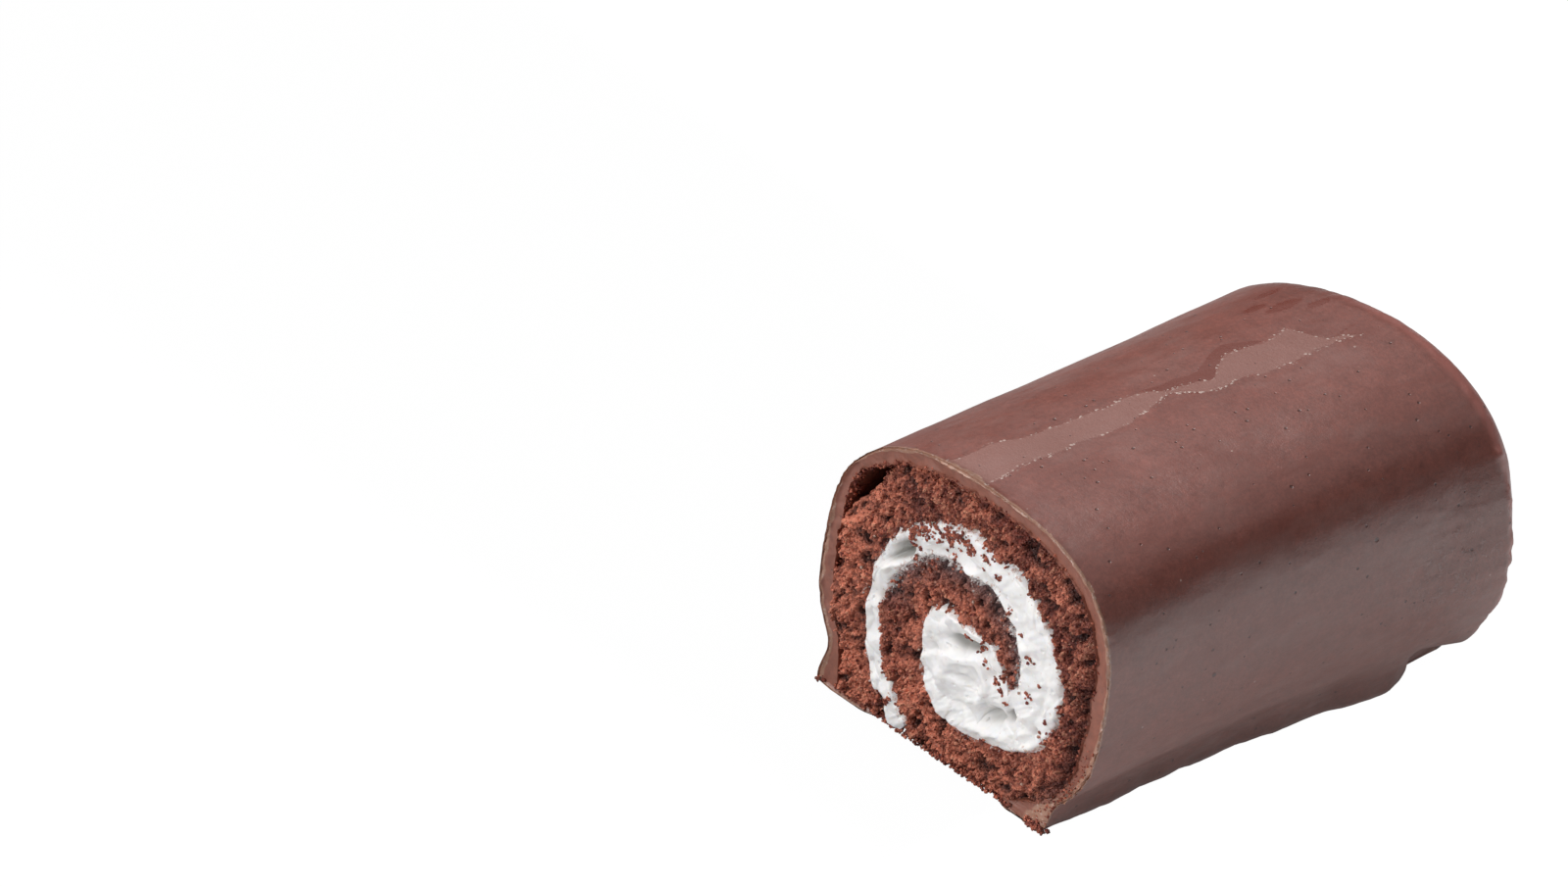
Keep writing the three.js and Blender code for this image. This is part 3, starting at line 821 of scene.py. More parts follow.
skin_side = bell(from_outer, 1.7) * ease(-178, -215, turn_grid) * (1 - 0.6 * ease(-330, -350, turn_grid))
skin_side = skin_side + 0.45 * bell(from_outer, 0.7) * ease(60, 20, turn_grid) * ease(-80, -40, turn_grid)
to_cream = np.where(turn_grid > INNER_LAP, from_inner, np.minimum(from_inner, from_outer))
# The tint attribute carries the crumb's own tint and the painted light on it.
sponge_layers = {
    "relief": (height, -0.1), "skin": (skin_side, 0),
    "to_cream": (to_cream, 3), "tint": (tint, 0),
}
sponge = bar("sponge_sheet", face_x, face_y, face_z, sponge_layers)

# %% [markdown]
# ## The cream
#
# The cream fills what the sheet leaves: a band between the two turns and the core. Seen from
# the tip of the sheet the core is open in every direction, so one fan of rows covers it all.
# The rows run from the sheet's inner side to the outer side of the inner lap, and past the tip
# they run to the tip itself. The cream tucks a little under the crumb on both sides, so the
# crumb's own relief draws the ragged line between white and brown.

# %% Relief of the cream
# Where each hollow or swelling is, its slope, its length and width, and its height in mm.
CREAM_SHAPES = [
    (-7.6, 17.2, 40, 1.8, 0.70, -1.4), (-8.0, 16.6, 40, 1.5, 0.26, -1.0), (-9.0, 15.3, 42, 1.7, 0.40, 0.55),
    (-6.4, 18.3, 80, 0.9, 0.4, 0.4), (0.5, 12.7, 14, 1.7, 0.34, -1.9), (-0.2, 12.3, 14, 1.6, 0.75, -0.8),
    (0.2, 11.2, 20, 2.6, 0.50, 0.55), (5.7, 8.7, 60, 0.60, 0.42, -1.3), (3.6, 7.7, 35, 1.6, 0.7, -1.0),
    (2.2, 5.6, 15, 2.8, 0.5, 0.45), (-1.6, 14.6, 75, 1.2, 0.4, 0.35), (2.6, 11.0, -60, 1.5, 0.35, 0.5),
    (-2.6, 8.0, 70, 2.4, 0.6, 0.35), (5.2, 4.2, 10, 1.8, 0.4, -0.45), (8.6, 8.7, 80, 0.4, 0.3, -0.5),
    (3.4, 19.6, -25, 1.6, 0.5, -0.5), (7.7, 15.2, -55, 1.8, 0.5, 0.3), (-0.2, 9.3, 8, 1.9, 0.35, -0.4),
    (2.4, 8.8, 65, 1.3, 0.4, 0.35), (-3.6, 10.6, -75, 1.5, 0.4, -0.35), (-2.4, 19.7, 20, 1.3, 0.5, -0.5),
    (1.0, 19.6, 5, 1.2, 0.4, 0.3), (-9.9, 11.0, 85, 2.0, 0.35, -0.3), (-10.2, 2.1, 0, 0.5, 0.5, -1.3),
    (9.5, 12.0, 75, 2.0, 0.4, -0.3), (8.6, 5.9, 60, 1.2, 0.4, -0.35),
]


def soft_lumps(x, z, pitch, seed):
    """Lumps that flatten out between cells: (1 - (distance / 0.95 cell)^2)^2, and each one's number."""
    d, own = grains(x / pitch, z / pitch, seed)
    return np.clip(1 - (d / 0.95) ** 2, 0, 1) ** 2, own


def cream_relief(x, z):
    """Height of the torn cream in mm: soft lumps, drawn-out streaks, pinholes and the shapes above."""
    bent_x, bent_z = x + 0.7 * waves(x / 1.9, z / 1.9, 111), z + 0.7 * waves(x / 1.9, z / 1.9, 112)
    lump, own = soft_lumps(bent_x, bent_z, 2.3, 113)
    small, small_own = soft_lumps(bent_x + 9, bent_z, 0.9, 116)
    height = 0.34 * (lump - 0.5) + 0.07 * own + 0.06 * (small - 0.5) + 0.02 * small_own
    along, sideways = 0.8 * x + 0.6 * z, -0.6 * x + 0.8 * z
    height = height + 0.10 * rough(along / 3.0, sideways / 1.0, 117, 2)
    height = height + 0.06 * rough(along / 1.8, sideways / 0.4, 120, 2)
    height = height + 0.012 * rough(x / 0.4, z / 0.4, 118, 2)
    hole, often = grains(x / 1.5, z / 1.5, 119)
    height = height - 0.22 * ease(0.11, 0.05, hole) * (often > 0.3)
    for at_x, at_z, slope, length, width, high in CREAM_SHAPES:
        c, s = np.cos(np.radians(slope)), np.sin(np.radians(slope))
        dx, dz = x - at_x, z - at_z
        height = height + high * bell(dx * c + dz * s, length) * bell(dz * c - dx * s, width)
    return height


print(f"deepest hollow {cream_relief(np.array(0.4), np.array(12.4)):.2f} mm")

# %% Rows of the cream
TUCK, CREAM_COLUMNS = 0.34, 72
cream_turn = np.concatenate([np.linspace(START + 9, START - 3, 60), np.linspace(START - 3.6, TIP - 2, 840)])
cream_v = np.linspace(0, 1, CREAM_COLUMNS)
tip_x, tip_z = from_core(np.array(TIP - 1.0), np.array(5.15))

to_table = (CORE[1] - 0.15) / np.maximum(-np.sin(np.radians(cream_turn)), 0.01)
cream_outer = sheet_inside(np.minimum(cream_turn, START)) + TUCK
cream_outer = np.where(cream_turn > START - 8, np.minimum(cream_outer, to_table), cream_outer)
cream_inner = sheet_outside(np.clip(cream_turn - 360, TIP, INNER_LAP - 0.01)) - TUCK
outer_x, outer_z = from_core(cream_turn, cream_outer)
inner_x, inner_z = from_core(cream_turn, cream_inner)
beyond = ease(16, 6, cream_turn)
inner_x, inner_z = inner_x + (tip_x - inner_x) * beyond, inner_z + (tip_z - inner_z) * beyond
closing = ease(TIP + 14, TIP - 2, cream_turn)
outer_x, outer_z = outer_x + (tip_x - outer_x) * closing, outer_z + (tip_z - outer_z) * closing

cream_x = inner_x[:, None] + (outer_x - inner_x)[:, None] * cream_v
cream_z = np.maximum(inner_z[:, None] + (outer_z - inner_z)[:, None] * cream_v, 0.2)
width = np.hypot(outer_x - inner_x, outer_z - inner_z)[:, None]
edge = np.minimum(cream_v * width + 9 * beyond[:, None], (1 - cream_v) * width)
cream_height = cream_relief(cream_x, cream_z)
cream_y = np.maximum(CUT_Y + 0.16 + 0.65 * bell(edge, 0.36) - cream_height, CUT_Y - 0.3)
cream = bar("cream_filling", cream_x, cream_y, cream_z, {"hollow": (cream_height, 0), "edge": (edge, 3)})

# %% [markdown]
# ## Crumbs
#
# The knife pulled crumbs loose: they cling to the cut face, dot the cream, and fringe the base.
# A crumb is a twenty-sided lump, stretched and turned at random. Thousands of them are placed
# at once by multiplying whole arrays, and joined in one mesh.

# %% Crumb maker
random = np.random.default_rng(5)
GOLDEN = (1 + 5**0.5) / 2
# The twelve corners are those of one golden rectangle set upright in each of three planes.
CARD = np.array([[-1, GOLDEN, 0], [1, GOLDEN, 0], [-1, -GOLDEN, 0], [1, -GOLDEN, 0]]) / np.hypot(1, GOLDEN)
LUMP = np.concatenate([np.roll(CARD, turns, axis=1) for turns in range(3)])
LUMP_FACES = np.array([
    [0, 11, 5], [0, 5, 1], [0, 1, 7], [0, 7, 10], [0, 10, 11], [1, 5, 9], [5, 11, 4], [11, 10, 2],
    [10, 7, 6], [7, 1, 8], [3, 9, 4], [3, 4, 2], [3, 2, 6], [3, 6, 8], [3, 8, 9], [4, 9, 5],
    [2, 4, 11], [6, 2, 10], [8, 6, 7], [9, 8, 1],
])


def random_turns(count):
    """Random rotations: the orthogonal part of random matrices, with mirror images turned back."""
    q, _ = np.linalg.qr(random.normal(size=(count, 3, 3)))
    return q * np.sign(np.linalg.det(q))[:, None, None]


def scatter(name, centres, radii, uneven=0.24, smooth=False):
    """One mesh of lumps: every lump's corners times its stretch, turned and moved to its centre."""
    count = len(centres)
    stretch = random.uniform(0.75, 1.2, (count, 1, 3))
    stretch = stretch * random.uniform(1 - uneven, 1 + uneven, (count, 12, 1))
    corners = (LUMP[None] * stretch) @ random_turns(count) * radii[:, None, None] + centres[:, None, :]
    faces = LUMP_FACES[None] + 12 * np.arange(count)[:, None, None]
    mesh = bpy.data.meshes.new(name)
    mesh.from_pydata((corners.reshape(-1, 3) * MM).tolist(), [], faces.reshape(-1, 3).tolist())
    if smooth:
        mesh.shade_smooth()
    attribute(mesh, "tint", np.repeat(random.uniform(-1, 1, count), 12))
    print(f"{name}: {count} lumps, {count * 20} triangles")
    return show(name, mesh)


# %% Crumbs on the cut face, on the cream and along the base
# Each clot of crumbs on the cream: where it is, how wide it spreads, and how many crumbs it has.
CLOTS = [
    (-0.6, 22.3, 0.22, 18), (0.3, 22.0, 0.25, 18), (1.3, 21.9, 0.25, 18), (-1.8, 22.0, 0.3, 18),
    (0.6, 21.2, 0.15, 10), (-3.6, 21.6, 0.25, 16), (-4.4, 20.8, 0.2, 12), (-2.9, 20.6, 0.2, 10),
    (2.6, 21.9, 0.25, 14), (4.4, 20.9, 0.2, 10), (-6.1, 19.3, 0.16, 16), (-5.9, 20.0, 0.2, 16),
    (-6.3, 18.6, 0.14, 12), (-5.8, 17.5, 0.16, 14), (-10.2, 17.3, 0.25, 14), (0.6, 13.3, 0.18, 10),
    (1.9, 12.9, 0.25, 16), (2.9, 12.3, 0.15, 8), (8.3, 15.2, 0.15, 8), (4.9, 10.6, 0.2, 14),
    (5.4, 9.9, 0.15, 8), (5.6, 18.4, 0.2, 8), (-8.2, 13.9, 0.2, 8), (2.4, 4.6, 0.3, 10),
    (-1.2, 19.9, 0.12, 6), (2.2, 20.6, 0.12, 4), (7.0, 17.0, 0.12, 6), (-5.4, 18.6, 0.12, 6),
    (-10.3, 2.2, 0.26, 32), (-10.7, 2.9, 0.15, 10), (-9.6, 2.3, 0.16, 24), (-2.3, 21.3, 0.35, 24),
    (-9.1, 2.6, 0.14, 20), (-8.7, 3.0, 0.12, 14), (9.9, 10.2, 0.12, 6), (9.7, 7.1, 0.2, 10),
    (8.9, 5.2, 0.15, 8), (6.2, 12.6, 0.12, 8), (7.9, 11.7, 0.25, 14), (5.3, 3.3, 0.2, 10),
    (9.2, 13.4, 0.12, 6), (-5.4, 20.4, 0.3, 18), (-1.7, 20.8, 0.26, 26), (-4.0, 17.4, 0.15, 8),
    (-0.9, 22.1, 0.8, 56), (0.8, 21.3, 0.12, 8), (-4.2, 20.7, 0.7, 32), (9.6, 9.0, 0.6, 8),
    (4.4, 11.2, 0.35, 14), (0.9, 13.0, 0.3, 10),
]
# Heaps low down: one at the left foot, two at the right foot, and one at the start of the sheet.
LOW_CLOTS = [(-17.3, 0.5, 0.22, 9), (9.4, 0.25, 0.28, 50), (8.7, 0.3, 0.35, 40), (-10.35, 1.9, 0.17, 18)]
CLINGING, FRINGE, CAUGHT, CAUGHT_TOP_LEFT, ON_LIP = 1500, 520, 600, 140, 150
# Where each glassy grain of sugar lies in the cut face.
BEADS = [
    (-10.6, 17.2), (5.9, 15.4), (9.3, 8.8), (-12.2, 13.5),
    (6.9, 11.6), (1.4, 17.2), (-5.2, 9.4), (7.4, 3.4),
]
groups = []


def group(x, y, z, smallest, largest):
    """Keeps one group of crumbs: their centres, and a random size for each."""
    groups.append((np.stack([x, y, z], -1), random.uniform(smallest, largest, len(x))))


def spread_round(places):
    """Random points round listed places (x, z, how wide, how many), as two arrays."""
    xs = [random.normal(x, wide, count) for x, z, wide, count in places]
    zs = [random.normal(z, 0.7 * wide, count) for x, z, wide, count in places]
    return np.concatenate(xs), np.concatenate(zs)


face_points = np.stack([face_x, face_y, face_z], -1)[8:-4, 1:-1].reshape(-1, 3)
high_enough = np.flatnonzero(height[8:-4, 1:-1].ravel() > 0.05)
clinging = face_points[random.choice(high_enough, CLINGING, replace=False)]
clinging = clinging + random.normal(0, 0.04, (CLINGING, 3))
group(*clinging.T, 0.07, 0.15)

clot_x, clot_z = spread_round(CLOTS)
group(clot_x, CUT_Y + 0.12 - np.clip(cream_relief(clot_x, clot_z), -1.0, 0.4), clot_z, 0.07, 0.17)

fringe_x = random.uniform(-15.9, 5.8, FRINGE)
fringe_y = CUT_Y + random.uniform(0.15, 0.7, FRINGE)
group(fringe_x, fringe_y, random.uniform(0.1, 0.6, FRINGE), 0.08, 0.20)

low_x, low_z = spread_round(LOW_CLOTS)
group(low_x, CUT_Y + random.uniform(-0.25, 0.25, len(low_x)), np.abs(low_z), 0.10, 0.22)

# Crumbs caught along the ragged inner edge of the rim, over the top and down the right side.
all_round = random.uniform(-35, 212, CAUGHT - CAUGHT_TOP_LEFT)
caught_phi = np.radians(np.concatenate([all_round, random.uniform(122, 166, CAUGHT_TOP_LEFT)]))
caught_r = wall(caught_phi) - random.uniform(-0.1, 0.35, CAUGHT)
group(*section_points(caught_phi, caught_r, CUT_Y + random.uniform(0.3, 1.3, CAUGHT)).T, 0.08, 0.20)

# A few more stick to the torn lip at the lower right.
lip_phi = np.radians(random.uniform(-58, -14, ON_LIP))
outwards = random.uniform(0, 1, ON_LIP) ** 0.6
on_lip_r = wall(lip_phi) + (outside(lip_phi, CUT_Y) - wall(lip_phi)) * outwards
group(*section_points(lip_phi, on_lip_r, CUT_Y + 0.16 + 0.18 * outwards**6).T, 0.05, 0.12)

centres, sizes = (np.concatenate(parts) for parts in zip(*groups))
centres[:, 2] = np.maximum(centres[:, 2], sizes * 1.2)
crumbs = scatter("loose_crumbs", centres, sizes)

bead_x, bead_z = np.array(BEADS).T
bead_centres = np.stack([bead_x, np.full(len(BEADS), CUT_Y - 0.02), bead_z], -1)
beads = scatter("sugar_beads", bead_centres, random.uniform(0.12, 0.2, len(BEADS)), 0.1, True)

# %% [markdown]
# ## Materials
#
# A material is a tree of nodes, and most of its nodes are sums and products. So a number that
# comes out of a node is wrapped in a small class: adding or multiplying such values makes the
# Math nodes, and a material then reads like a formula. Everything reads Object coordinates in
# metres, so a scale of 1000 means one patch a millimetre.


# %% Node helpers
class Value:
    """A number in a node tree, which adds, subtracts and multiplies like a plain one."""

    def __init__(self, socket):
        self.socket, self.tree = socket, socket.id_data

    def math(self, operation, other, clamp=False):
        node = add(self.tree, "ShaderNodeMath", {0: self, 1: other}, operation=operation, use_clamp=clamp)
        return Value(node.outputs[0])

    def __add__(self, other):
        return self.math("ADD", other)

    def __sub__(self, other):
        return self.math("SUBTRACT", other)

    def __mul__(self, other):
        return self.math("MULTIPLY", other)


def plug(value, socket):
    """Links a value or another node's socket into this socket, or sets it to a number or colour."""
    value = value.socket if isinstance(value, Value) else value
    if isinstance(value, bpy.types.NodeSocket):
        socket.id_data.links.new(value, socket)
    else:
        socket.default_value = value


def add(tree, kind, inputs=None, **settings):
    """A new node with its settings, and with its inputs plugged in or set."""
    node = tree.nodes.new(kind)
    for key, value in settings.items():
        setattr(node, key, value)
    for key, value in (inputs or {}).items():
        plug(value, node.inputs[key])
    return node


def remap(value, low, high, to_low=0.0, to_high=1.0, kind="SMOOTHSTEP"):
    inputs = {0: value, 1: low, 2: high, 3: to_low, 4: to_high}
    return Value(add(value.tree, "ShaderNodeMapRange", inputs, interpolation_type=kind).outputs[0])


def blend(tree, share, first, second, mode="MIX"):
    inputs = {0: share, 6: first, 7: second}
    return add(tree, "ShaderNodeMix", inputs, data_type="RGBA", blend_type=mode).outputs[2]


def grey(tree, value):
    return add(tree, "ShaderNodeCombineColor", {"Red": value, "Green": value, "Blue": value}).outputs[0]


def place(tree):
    return add(tree, "ShaderNodeTexCoord").outputs["Object"]


def texture(tree, kind, scale, **inputs):
    """The outputs of a texture node that reads Object coordinates."""
    return add(tree, kind, {"Vector": place(tree), "Scale": scale, **inputs}).outputs


def reading(tree, name):
    return Value(add(tree, "ShaderNodeAttribute", attribute_name=name).outputs["Fac"])


def noise(tree, scale, detail=3.0, roughness=0.55, along=1.0):
    """Cloudy noise from 0 to 1; with along below 1 its clouds are drawn out along the roll."""
    drawn_out = add(tree, "ShaderNodeVectorMath", {0: place(tree), 1: (1, along, 1)}, operation="MULTIPLY")
    inputs = {"Vector": drawn_out.outputs[0], "Scale": scale, "Detail": detail, "Roughness": roughness}
    return Value(add(tree, "ShaderNodeTexNoise", inputs).outputs["Fac"])


print("node helpers ready")

# %% [markdown]
# ## Three shared effects
#
# Mottling makes a colour a little lighter and darker in patches, as in every food. Specks are
# small round spots scattered at random, used for the painted shade of pinholes, for painted
# glints and for dust. Granules are tiny cells for a crumb's bumps. They are node groups with
# named inputs, so each material sets its own sizes.


# %% Mottling, specks and granules
def new_group(name, inputs, output):
    """An empty node group, its input values by name, and the socket that takes its result."""
    group = bpy.data.node_groups.new(name, "ShaderNodeTree")
    kinds = {True: "NodeSocketColor", False: "NodeSocketFloat"}
    for label, default in inputs.items():
        kind = kinds[label == "Color"]
        group.interface.new_socket(label, in_out="INPUT", socket_type=kind).default_value = default
    group.interface.new_socket(output, in_out="OUTPUT", socket_type=kinds[output == "Color"])
    source = add(group, "NodeGroupInput").outputs
    given = {label: Value(source[label]) for label in inputs}
    return group, given, add(group, "NodeGroupOutput").inputs[output]


mottling_inputs = {"Color": (0.5, 0.5, 0.5, 1), "Scale": 500.0, "Strength": 0.2}
mottling, given, result = new_group("mottling", mottling_inputs, "Color")
cloud = Value(texture(mottling, "ShaderNodeTexNoise", given["Scale"], Detail=4.0, Roughness=0.62)["Fac"])
gain = (cloud - 0.5) * given["Strength"] * 3.0 + 1.0
plug(blend(mottling, 1.0, given["Color"], grey(mottling, gain), "MULTIPLY"), result)

specks, given, result = new_group("specks", {"Scale": 400.0, "Size": 0.12, "Chance": 0.4}, "Mask")
cells = texture(specks, "ShaderNodeTexVoronoi", given["Scale"])
parts = add(specks, "ShaderNodeSeparateColor", {0: cells["Color"]}).outputs
chosen = Value(parts[0]).math("LESS_THAN", given["Chance"])
near_share = Value(cells["Distance"]).math("DIVIDE", given["Size"] * (Value(parts[1]) + 0.35))
plug(remap(near_share, 1.0, 0.55) * chosen, result)

granules, given, result = new_group("granules", {"Scale": 3000.0}, "Height")
cells = texture(granules, "ShaderNodeTexVoronoi", given["Scale"])
plug(Value(cells["Distance"]) * -1.0 + 1.0, result)
print("groups:", [g.name for g in bpy.data.node_groups])


# %% Material helpers
def dress(shader, **inputs):
    """Plugs values into the shader's inputs, whose names are written with _ for a space."""
    for label, value in inputs.items():
        plug(value, shader.inputs[label.replace("_", " ")])


def new_material(name, piece, **inputs):
    """A new material on a piece, given as its node tree and its shader."""
    material = bpy.data.materials.new(name)
    material.use_nodes = True
    piece.data.materials.append(material)
    shader = material.node_tree.nodes["Principled BSDF"]
    dress(shader, **inputs)
    return material.node_tree, shader


def use(tree, group, **inputs):
    return add(tree, "ShaderNodeGroup", inputs, node_tree=group).outputs[0]


def mottled(tree, color, *layers):
    """A colour made uneven once for each scale and strength."""
    for scale, strength in layers:
        color = use(tree, mottling, Color=color, Scale=float(scale), Strength=strength)
    return color


def speckled(tree, scale, size, chance):
    return Value(use(tree, specks, Scale=float(scale), Size=size, Chance=chance))


def layered(tree, color, *layers):
    """A colour with others laid over it in turn, each by its own share."""
    for share, over in layers:
        color = blend(tree, share, color, over)
    return color


def bump(height, distance, strength, shader):
    inputs = {"Distance": distance, "Strength": strength, "Height": height}
    dress(shader, Normal=add(height.tree, "ShaderNodeBump", inputs).outputs["Normal"])


print("material helpers ready")

# %% [markdown]
# ## The table
#
# The camera sees a white table, while the cake mirrors and is lit by an uneven one: bright at the
# right, in front and close behind, where the coating's flank and rim pick it up, and duller with
# distance. Light Path tells the camera's rays from all others, so the two can be mixed.

# %% The table's material
FLOOR_GLOW, SEEN_GLOW, SEEN_SHARE = 0.6, 1.13, 0.86
BRIGHT_MIDDLE = (0.045, 0.018, 0)

tree, shader = new_material("white_table", floor, Roughness=0.9, Emission_Strength=FLOOR_GLOW)
spot = place(tree)
split = add(tree, "ShaderNodeSeparateXYZ", {0: spot}).outputs
floor_x, floor_y = Value(split["X"]), Value(split["Y"])
away = add(tree, "ShaderNodeVectorMath", {0: spot, 1: BRIGHT_MIDDLE}, operation="DISTANCE").outputs["Value"]
at_right = remap(floor_x, 0.004, 0.017, kind="LINEAR")
in_front = remap(floor_y, -0.030, -0.070, kind="LINEAR")
behind = remap(floor_y, 0.024, 0.036, 0.0, 0.8, "LINEAR")
lit = at_right.math("MAXIMUM", in_front).math("MAXIMUM", behind)
lit = lit * remap(Value(away), 0.05, 0.18, 1.0, 0.2, "LINEAR")
table_grey = grey(tree, remap(lit, 0.0, 1.0, 0.10, 0.54, "LINEAR"))
dress(shader, Base_Color=table_grey, Emission_Color=table_grey)
seen_white = add(tree, "ShaderNodeEmission", {"Strength": SEEN_GLOW})
seen = Value(add(tree, "ShaderNodeLightPath").outputs["Is Camera Ray"]) * SEEN_SHARE
either = add(tree, "ShaderNodeMixShader", {0: seen, 1: shader.outputs[0], 2: seen_white.outputs[0]})
plug(either.outputs[0], tree.nodes["Material Output"].inputs["Surface"])
print("table nodes:", len(tree.nodes))

# %% [markdown]
# ## Milk chocolate
#
# Set milk chocolate is a smooth brown with a soft sheen, drawn out along the roll in paler and
# redder clouds. Where it was cut it is lighter and duller, since the knife leaves a dry surface,
# and its torn lip is tan. The rubbed strip is paler and matt with a crooked edge, and painted
# glints, pale specks, mark that edge and the tan lip; a few pale specks of dust lie anywhere.
# Dark pinholes are burst bubbles, darkened with painted shade. A painted rim light runs along
# the far edge, and below the far seam the underside gets painted light.

# %% Chocolate material
CHOCOLATE = (0.243, 0.074, 0.054, 1)
CUT_CHOCOLATE = (0.270, 0.080, 0.044, 1)
BLOOM, WIPED = (0.280, 0.128, 0.107, 1), (0.215, 0.056, 0.038, 1)
SCRAPED, GROOVE = (0.33, 0.18, 0.165, 1), (0.10, 0.035, 0.026, 1)
RED_GLAZE, SCUFFED = (0.205, 0.048, 0.031, 1), (0.285, 0.112, 0.086, 1)
RIM_LIGHT_PAINT, TAN_LIP = (0.48, 0.170, 0.140, 1), (0.42, 0.215, 0.140, 1)
PINHOLE_SHADE, DUST_AND_GLINT = (0.07, 0.020, 0.014, 1), (0.62, 0.46, 0.40, 1)

tree, shader = new_material("milk_chocolate", coating, Specular_IOR_Level=1.0, IOR=1.6)
cut, lip, worn_side, painted_rim_light = (reading(tree, name) for name in ("cut", "lip", "worn_side", "painted_rim_light"))
edge_noise = (noise(tree, 2600, 4, 0.7) - 0.5) * 0.55
strip_in = reading(tree, "strip") + edge_noise
scuffed = remap(strip_in, -0.02, 0.08)
fibre = noise(tree, 5200, 3, 0.7)
worn = scuffed * remap(fibre, 0.25, 0.62, 0.55, 1.0)
glazed = remap(reading(tree, "glaze") + edge_noise, -0.05, 0.12)
scrapes = remap(noise(tree, 1300, 5, 0.7), 0.50, 0.66) * worn_side
grooves = remap(noise(tree, 950, 5, 0.75), 0.40, 0.30) * worn_side
patchy = remap(lip + (noise(tree, 1400, 3, 0.6) - 0.5), 0.36, 0.7)
# Pinholes: small pits dented by the bump, with painted shade darkening their colour.
holes = speckled(tree, 950, 0.13, 0.75).math("MAXIMUM", speckled(tree, 310, 0.066, 0.5))
near_edge = remap(strip_in.math("ABSOLUTE", 0.0), 0.28, 0.06)
# Painted glints: pale specks along the strip's edge and the tan lip; a few specks of dust anywhere.
pale = (near_edge + patchy * 0.5) * speckled(tree, 3600, 0.55, 0.55)
dust_and_glints = pale.math("ADD", speckled(tree, 620, 0.065, 0.35) * 0.7, clamp=True)

color = layered(
    tree,
    mottled(tree, CHOCOLATE, (170, 0.12), (700, 0.20), (3000, 0.32)),
    (remap(noise(tree, 260, 5, 0.65, 0.45), 0.46, 0.68, 0.0, 0.50), BLOOM),
    (remap(noise(tree, 430, 5, 0.7, 0.22), 0.50, 0.68, 0.0, 0.55), WIPED),
    (scrapes * 0.85, SCRAPED),
    (grooves * 0.8, GROOVE),
    (glazed, RED_GLAZE),
    # The painted rim light along the far edge.
    (painted_rim_light * 0.95, RIM_LIGHT_PAINT),
    (worn, SCUFFED),
    (cut, mottled(tree, CUT_CHOCOLATE, (1500, 0.34))),
    (patchy * 0.85, TAN_LIP),
    (holes * 0.85, PINHOLE_SHADE),
    (dust_and_glints * 0.85, DUST_AND_GLINT),
)
sheen = worn * 0.22 + 0.35 + cut * 0.2 - glazed * 0.08 + (noise(tree, 900, 4) - 0.5) * 0.24
dress(shader, Base_Color=color, Roughness=sheen)
relief = noise(tree, 2400, 4, 0.6) * 0.5 + holes * -0.9 + fibre * scuffed * 0.45 + dust_and_glints * 0.5
bump(relief + noise(tree, 8000, 2, 0.5) * 0.25 + scrapes * 0.8, 0.00009, 0.55, shader)
print("chocolate nodes:", len(tree.nodes))

# %% [markdown]
# ## Cocoa sponge
#
# Baked cocoa foam is warm brown and quite matt. The relief that shaped the mesh is also an
# attribute, so the pits are darkened with painted shade where light hardly reaches and the peaks
# get a paler painted highlight. The tint is raised on the left, in the middle of the inner lap
# and low down as painted light, and pale specks on the grains are painted glints. The side that
# was the sheet's baked skin is greyer and finer. Cream is smeared on the grains close to its
# edge, and here and there on the greyish skin.

# %% Sponge and crumb materials
SPONGE_RICH, SPONGE_PALE = (0.200, 0.034, 0.020, 1), (0.88, 0.275, 0.165, 1)
SPONGE_PIT_SHADE, SPONGE_SKIN = (0.060, 0.010, 0.006, 1), (0.175, 0.112, 0.112, 1)
SPONGE_HIGHLIGHT_PAINT, SMEAR = (0.80, 0.37, 0.22, 1), (0.80, 0.76, 0.74, 1)
CRUMB_GLINT, AMBER = (0.84, 0.46, 0.33, 1), (0.62, 0.42, 0.33, 1)


def crumb_colours(tree, base, shader):
    """Adds the sponge's colour variation and painted glints to a base colour and plugs it in, with fine
    bumps.
    """
    grainy = mottled(tree, base, (420, 0.26), (4600, 0.45))
    # Painted glints: pale specks laid over the grains.
    glinted = layered(tree, grainy, (speckled(tree, 2600, 0.24, 0.34) * 0.6, CRUMB_GLINT))
    dress(shader, Base_Color=glinted)
    granular = Value(use(tree, granules, Scale=4600.0)) + noise(tree, 5200, 4, 0.7)
    bump(granular, 0.00022, 1.0, shader)


tree, shader = new_material("cocoa_sponge", sponge, Roughness=0.50, Specular_IOR_Level=0.6)
relief, skin = reading(tree, "relief"), reading(tree, "skin")
# The tint read here includes painted light on the left, the inner lap and low down.
varied = blend(tree, remap(reading(tree, "tint"), -0.7, 1.3), SPONGE_RICH, SPONGE_PALE)
# Painted highlight: paler tan on the peaks of the relief, broken up by noise.
painted_peak_highlight = remap(relief, 0.08, 0.42) * remap(noise(tree, 4200, 3, 0.6), 0.42, 0.58)
likely = remap(reading(tree, "to_cream"), 0.0, 0.6, 0.20, 0.0) + skin * 0.13
smeared = remap(noise(tree, 3000, 4, 0.7) + likely, 0.70, 0.78)
# Painted shade darkens the pits, where the relief is low.
base = layered(
    tree,
    blend(tree, remap(relief, -0.66, 0.14), SPONGE_PIT_SHADE, varied),
    (painted_peak_highlight * 0.7, SPONGE_HIGHLIGHT_PAINT),
    (skin * 0.85, SPONGE_SKIN),
    (smeared * 0.8, SMEAR),
)
crumb_colours(tree, base, shader)

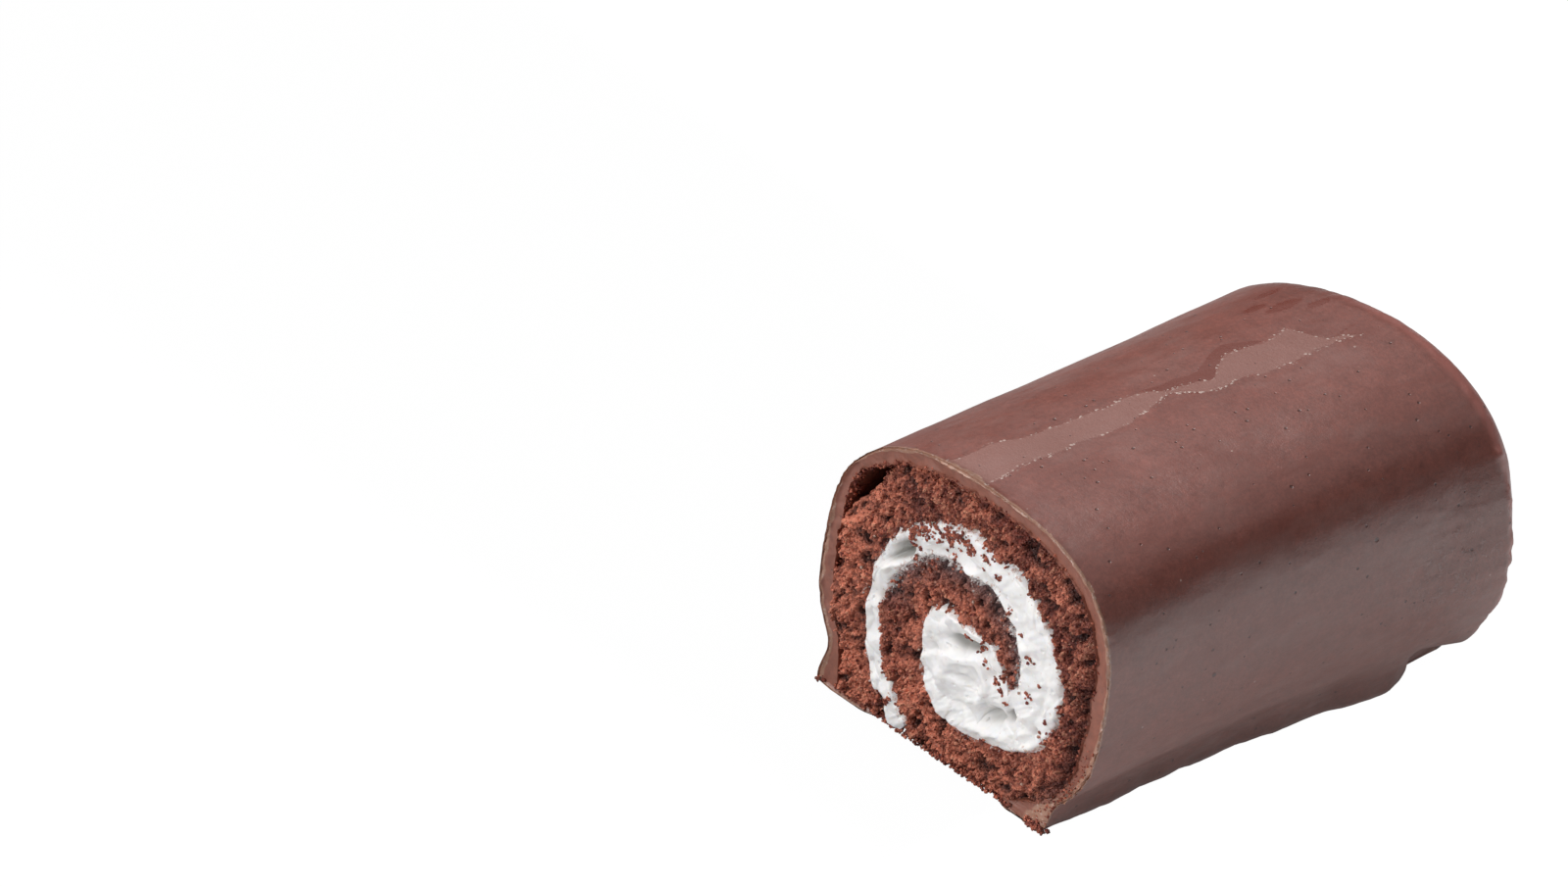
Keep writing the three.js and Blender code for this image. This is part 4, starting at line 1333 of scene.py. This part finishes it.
tree, shader = new_material("cocoa_crumb", crumbs, Roughness=0.50, Specular_IOR_Level=0.6)
crumb_colours(tree, blend(tree, remap(reading(tree, "tint"), -1, 1.8), SPONGE_RICH, SPONGE_PALE), shader)

glass = {"Roughness": 0.12, "Specular_IOR_Level": 0.6, "Transmission_Weight": 0.35}
tree, shader = new_material("sugar_glass", beads, **glass)
dress(shader, Base_Color=mottled(tree, AMBER, (2500, 0.3)))
print("sponge, crumb and sugar materials made")

# %% [markdown]
# ## Cream
#
# The filling is whipped sugar and fat: white, soft, faintly glossy, and a little see-through, so
# light bleeds under its surface and its shadows stay pale. Subsurface scattering with a short
# reach does that. Its hollows are greyed with painted shade, darkest in the deepest, and crumb
# has rubbed off on it near its edges.

# %% Cream material
CREAM, CREAM_HOLLOW_SHADE = (0.96, 0.937, 0.924, 1), (0.52, 0.51, 0.49, 1)
CREAM_DEEP_SHADE, CREAM_STAIN = (0.30, 0.28, 0.25, 1), (0.52, 0.30, 0.23, 1)

tree, shader = new_material("white_cream", cream, Roughness=0.42)
hollows = reading(tree, "hollow")
rubbed = noise(tree, 2400, 4, 0.7) + remap(reading(tree, "edge"), 0.2, 1.2, 0.15, 0.0)
color = layered(
    tree,
    # Painted shade: the deeper the cream's hollow, the greyer it is.
    blend(tree, remap(hollows, -0.9, 0.0), CREAM_HOLLOW_SHADE, CREAM),
    (remap(hollows, -1.1, -1.9), CREAM_DEEP_SHADE),
    (remap(rubbed, 0.63, 0.75, 0.0, 0.8), CREAM_STAIN),
)
dress(shader, Base_Color=mottled(tree, color, (700, 0.05)), Subsurface_Weight=0.35)
dress(shader, Subsurface_Radius=(1.0, 0.85, 0.7), Subsurface_Scale=0.0007)
bump(noise(tree, 1700, 4, 0.6) * 0.8 - speckled(tree, 1500, 0.16, 0.2), 0.00007, 0.5, shader)
print("cream material made")

# %% [markdown]
# ## The pieces on the body
#
# Each piece rides on the one body and stands for its solid.

# %% Ride and replace
for piece, node in ((coating, "coating"), (sponge, "sponge"), (cream, "cream")):
    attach(piece, "root")
    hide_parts(node)
for scattered in (crumbs, beads):
    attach(scattered, "root")
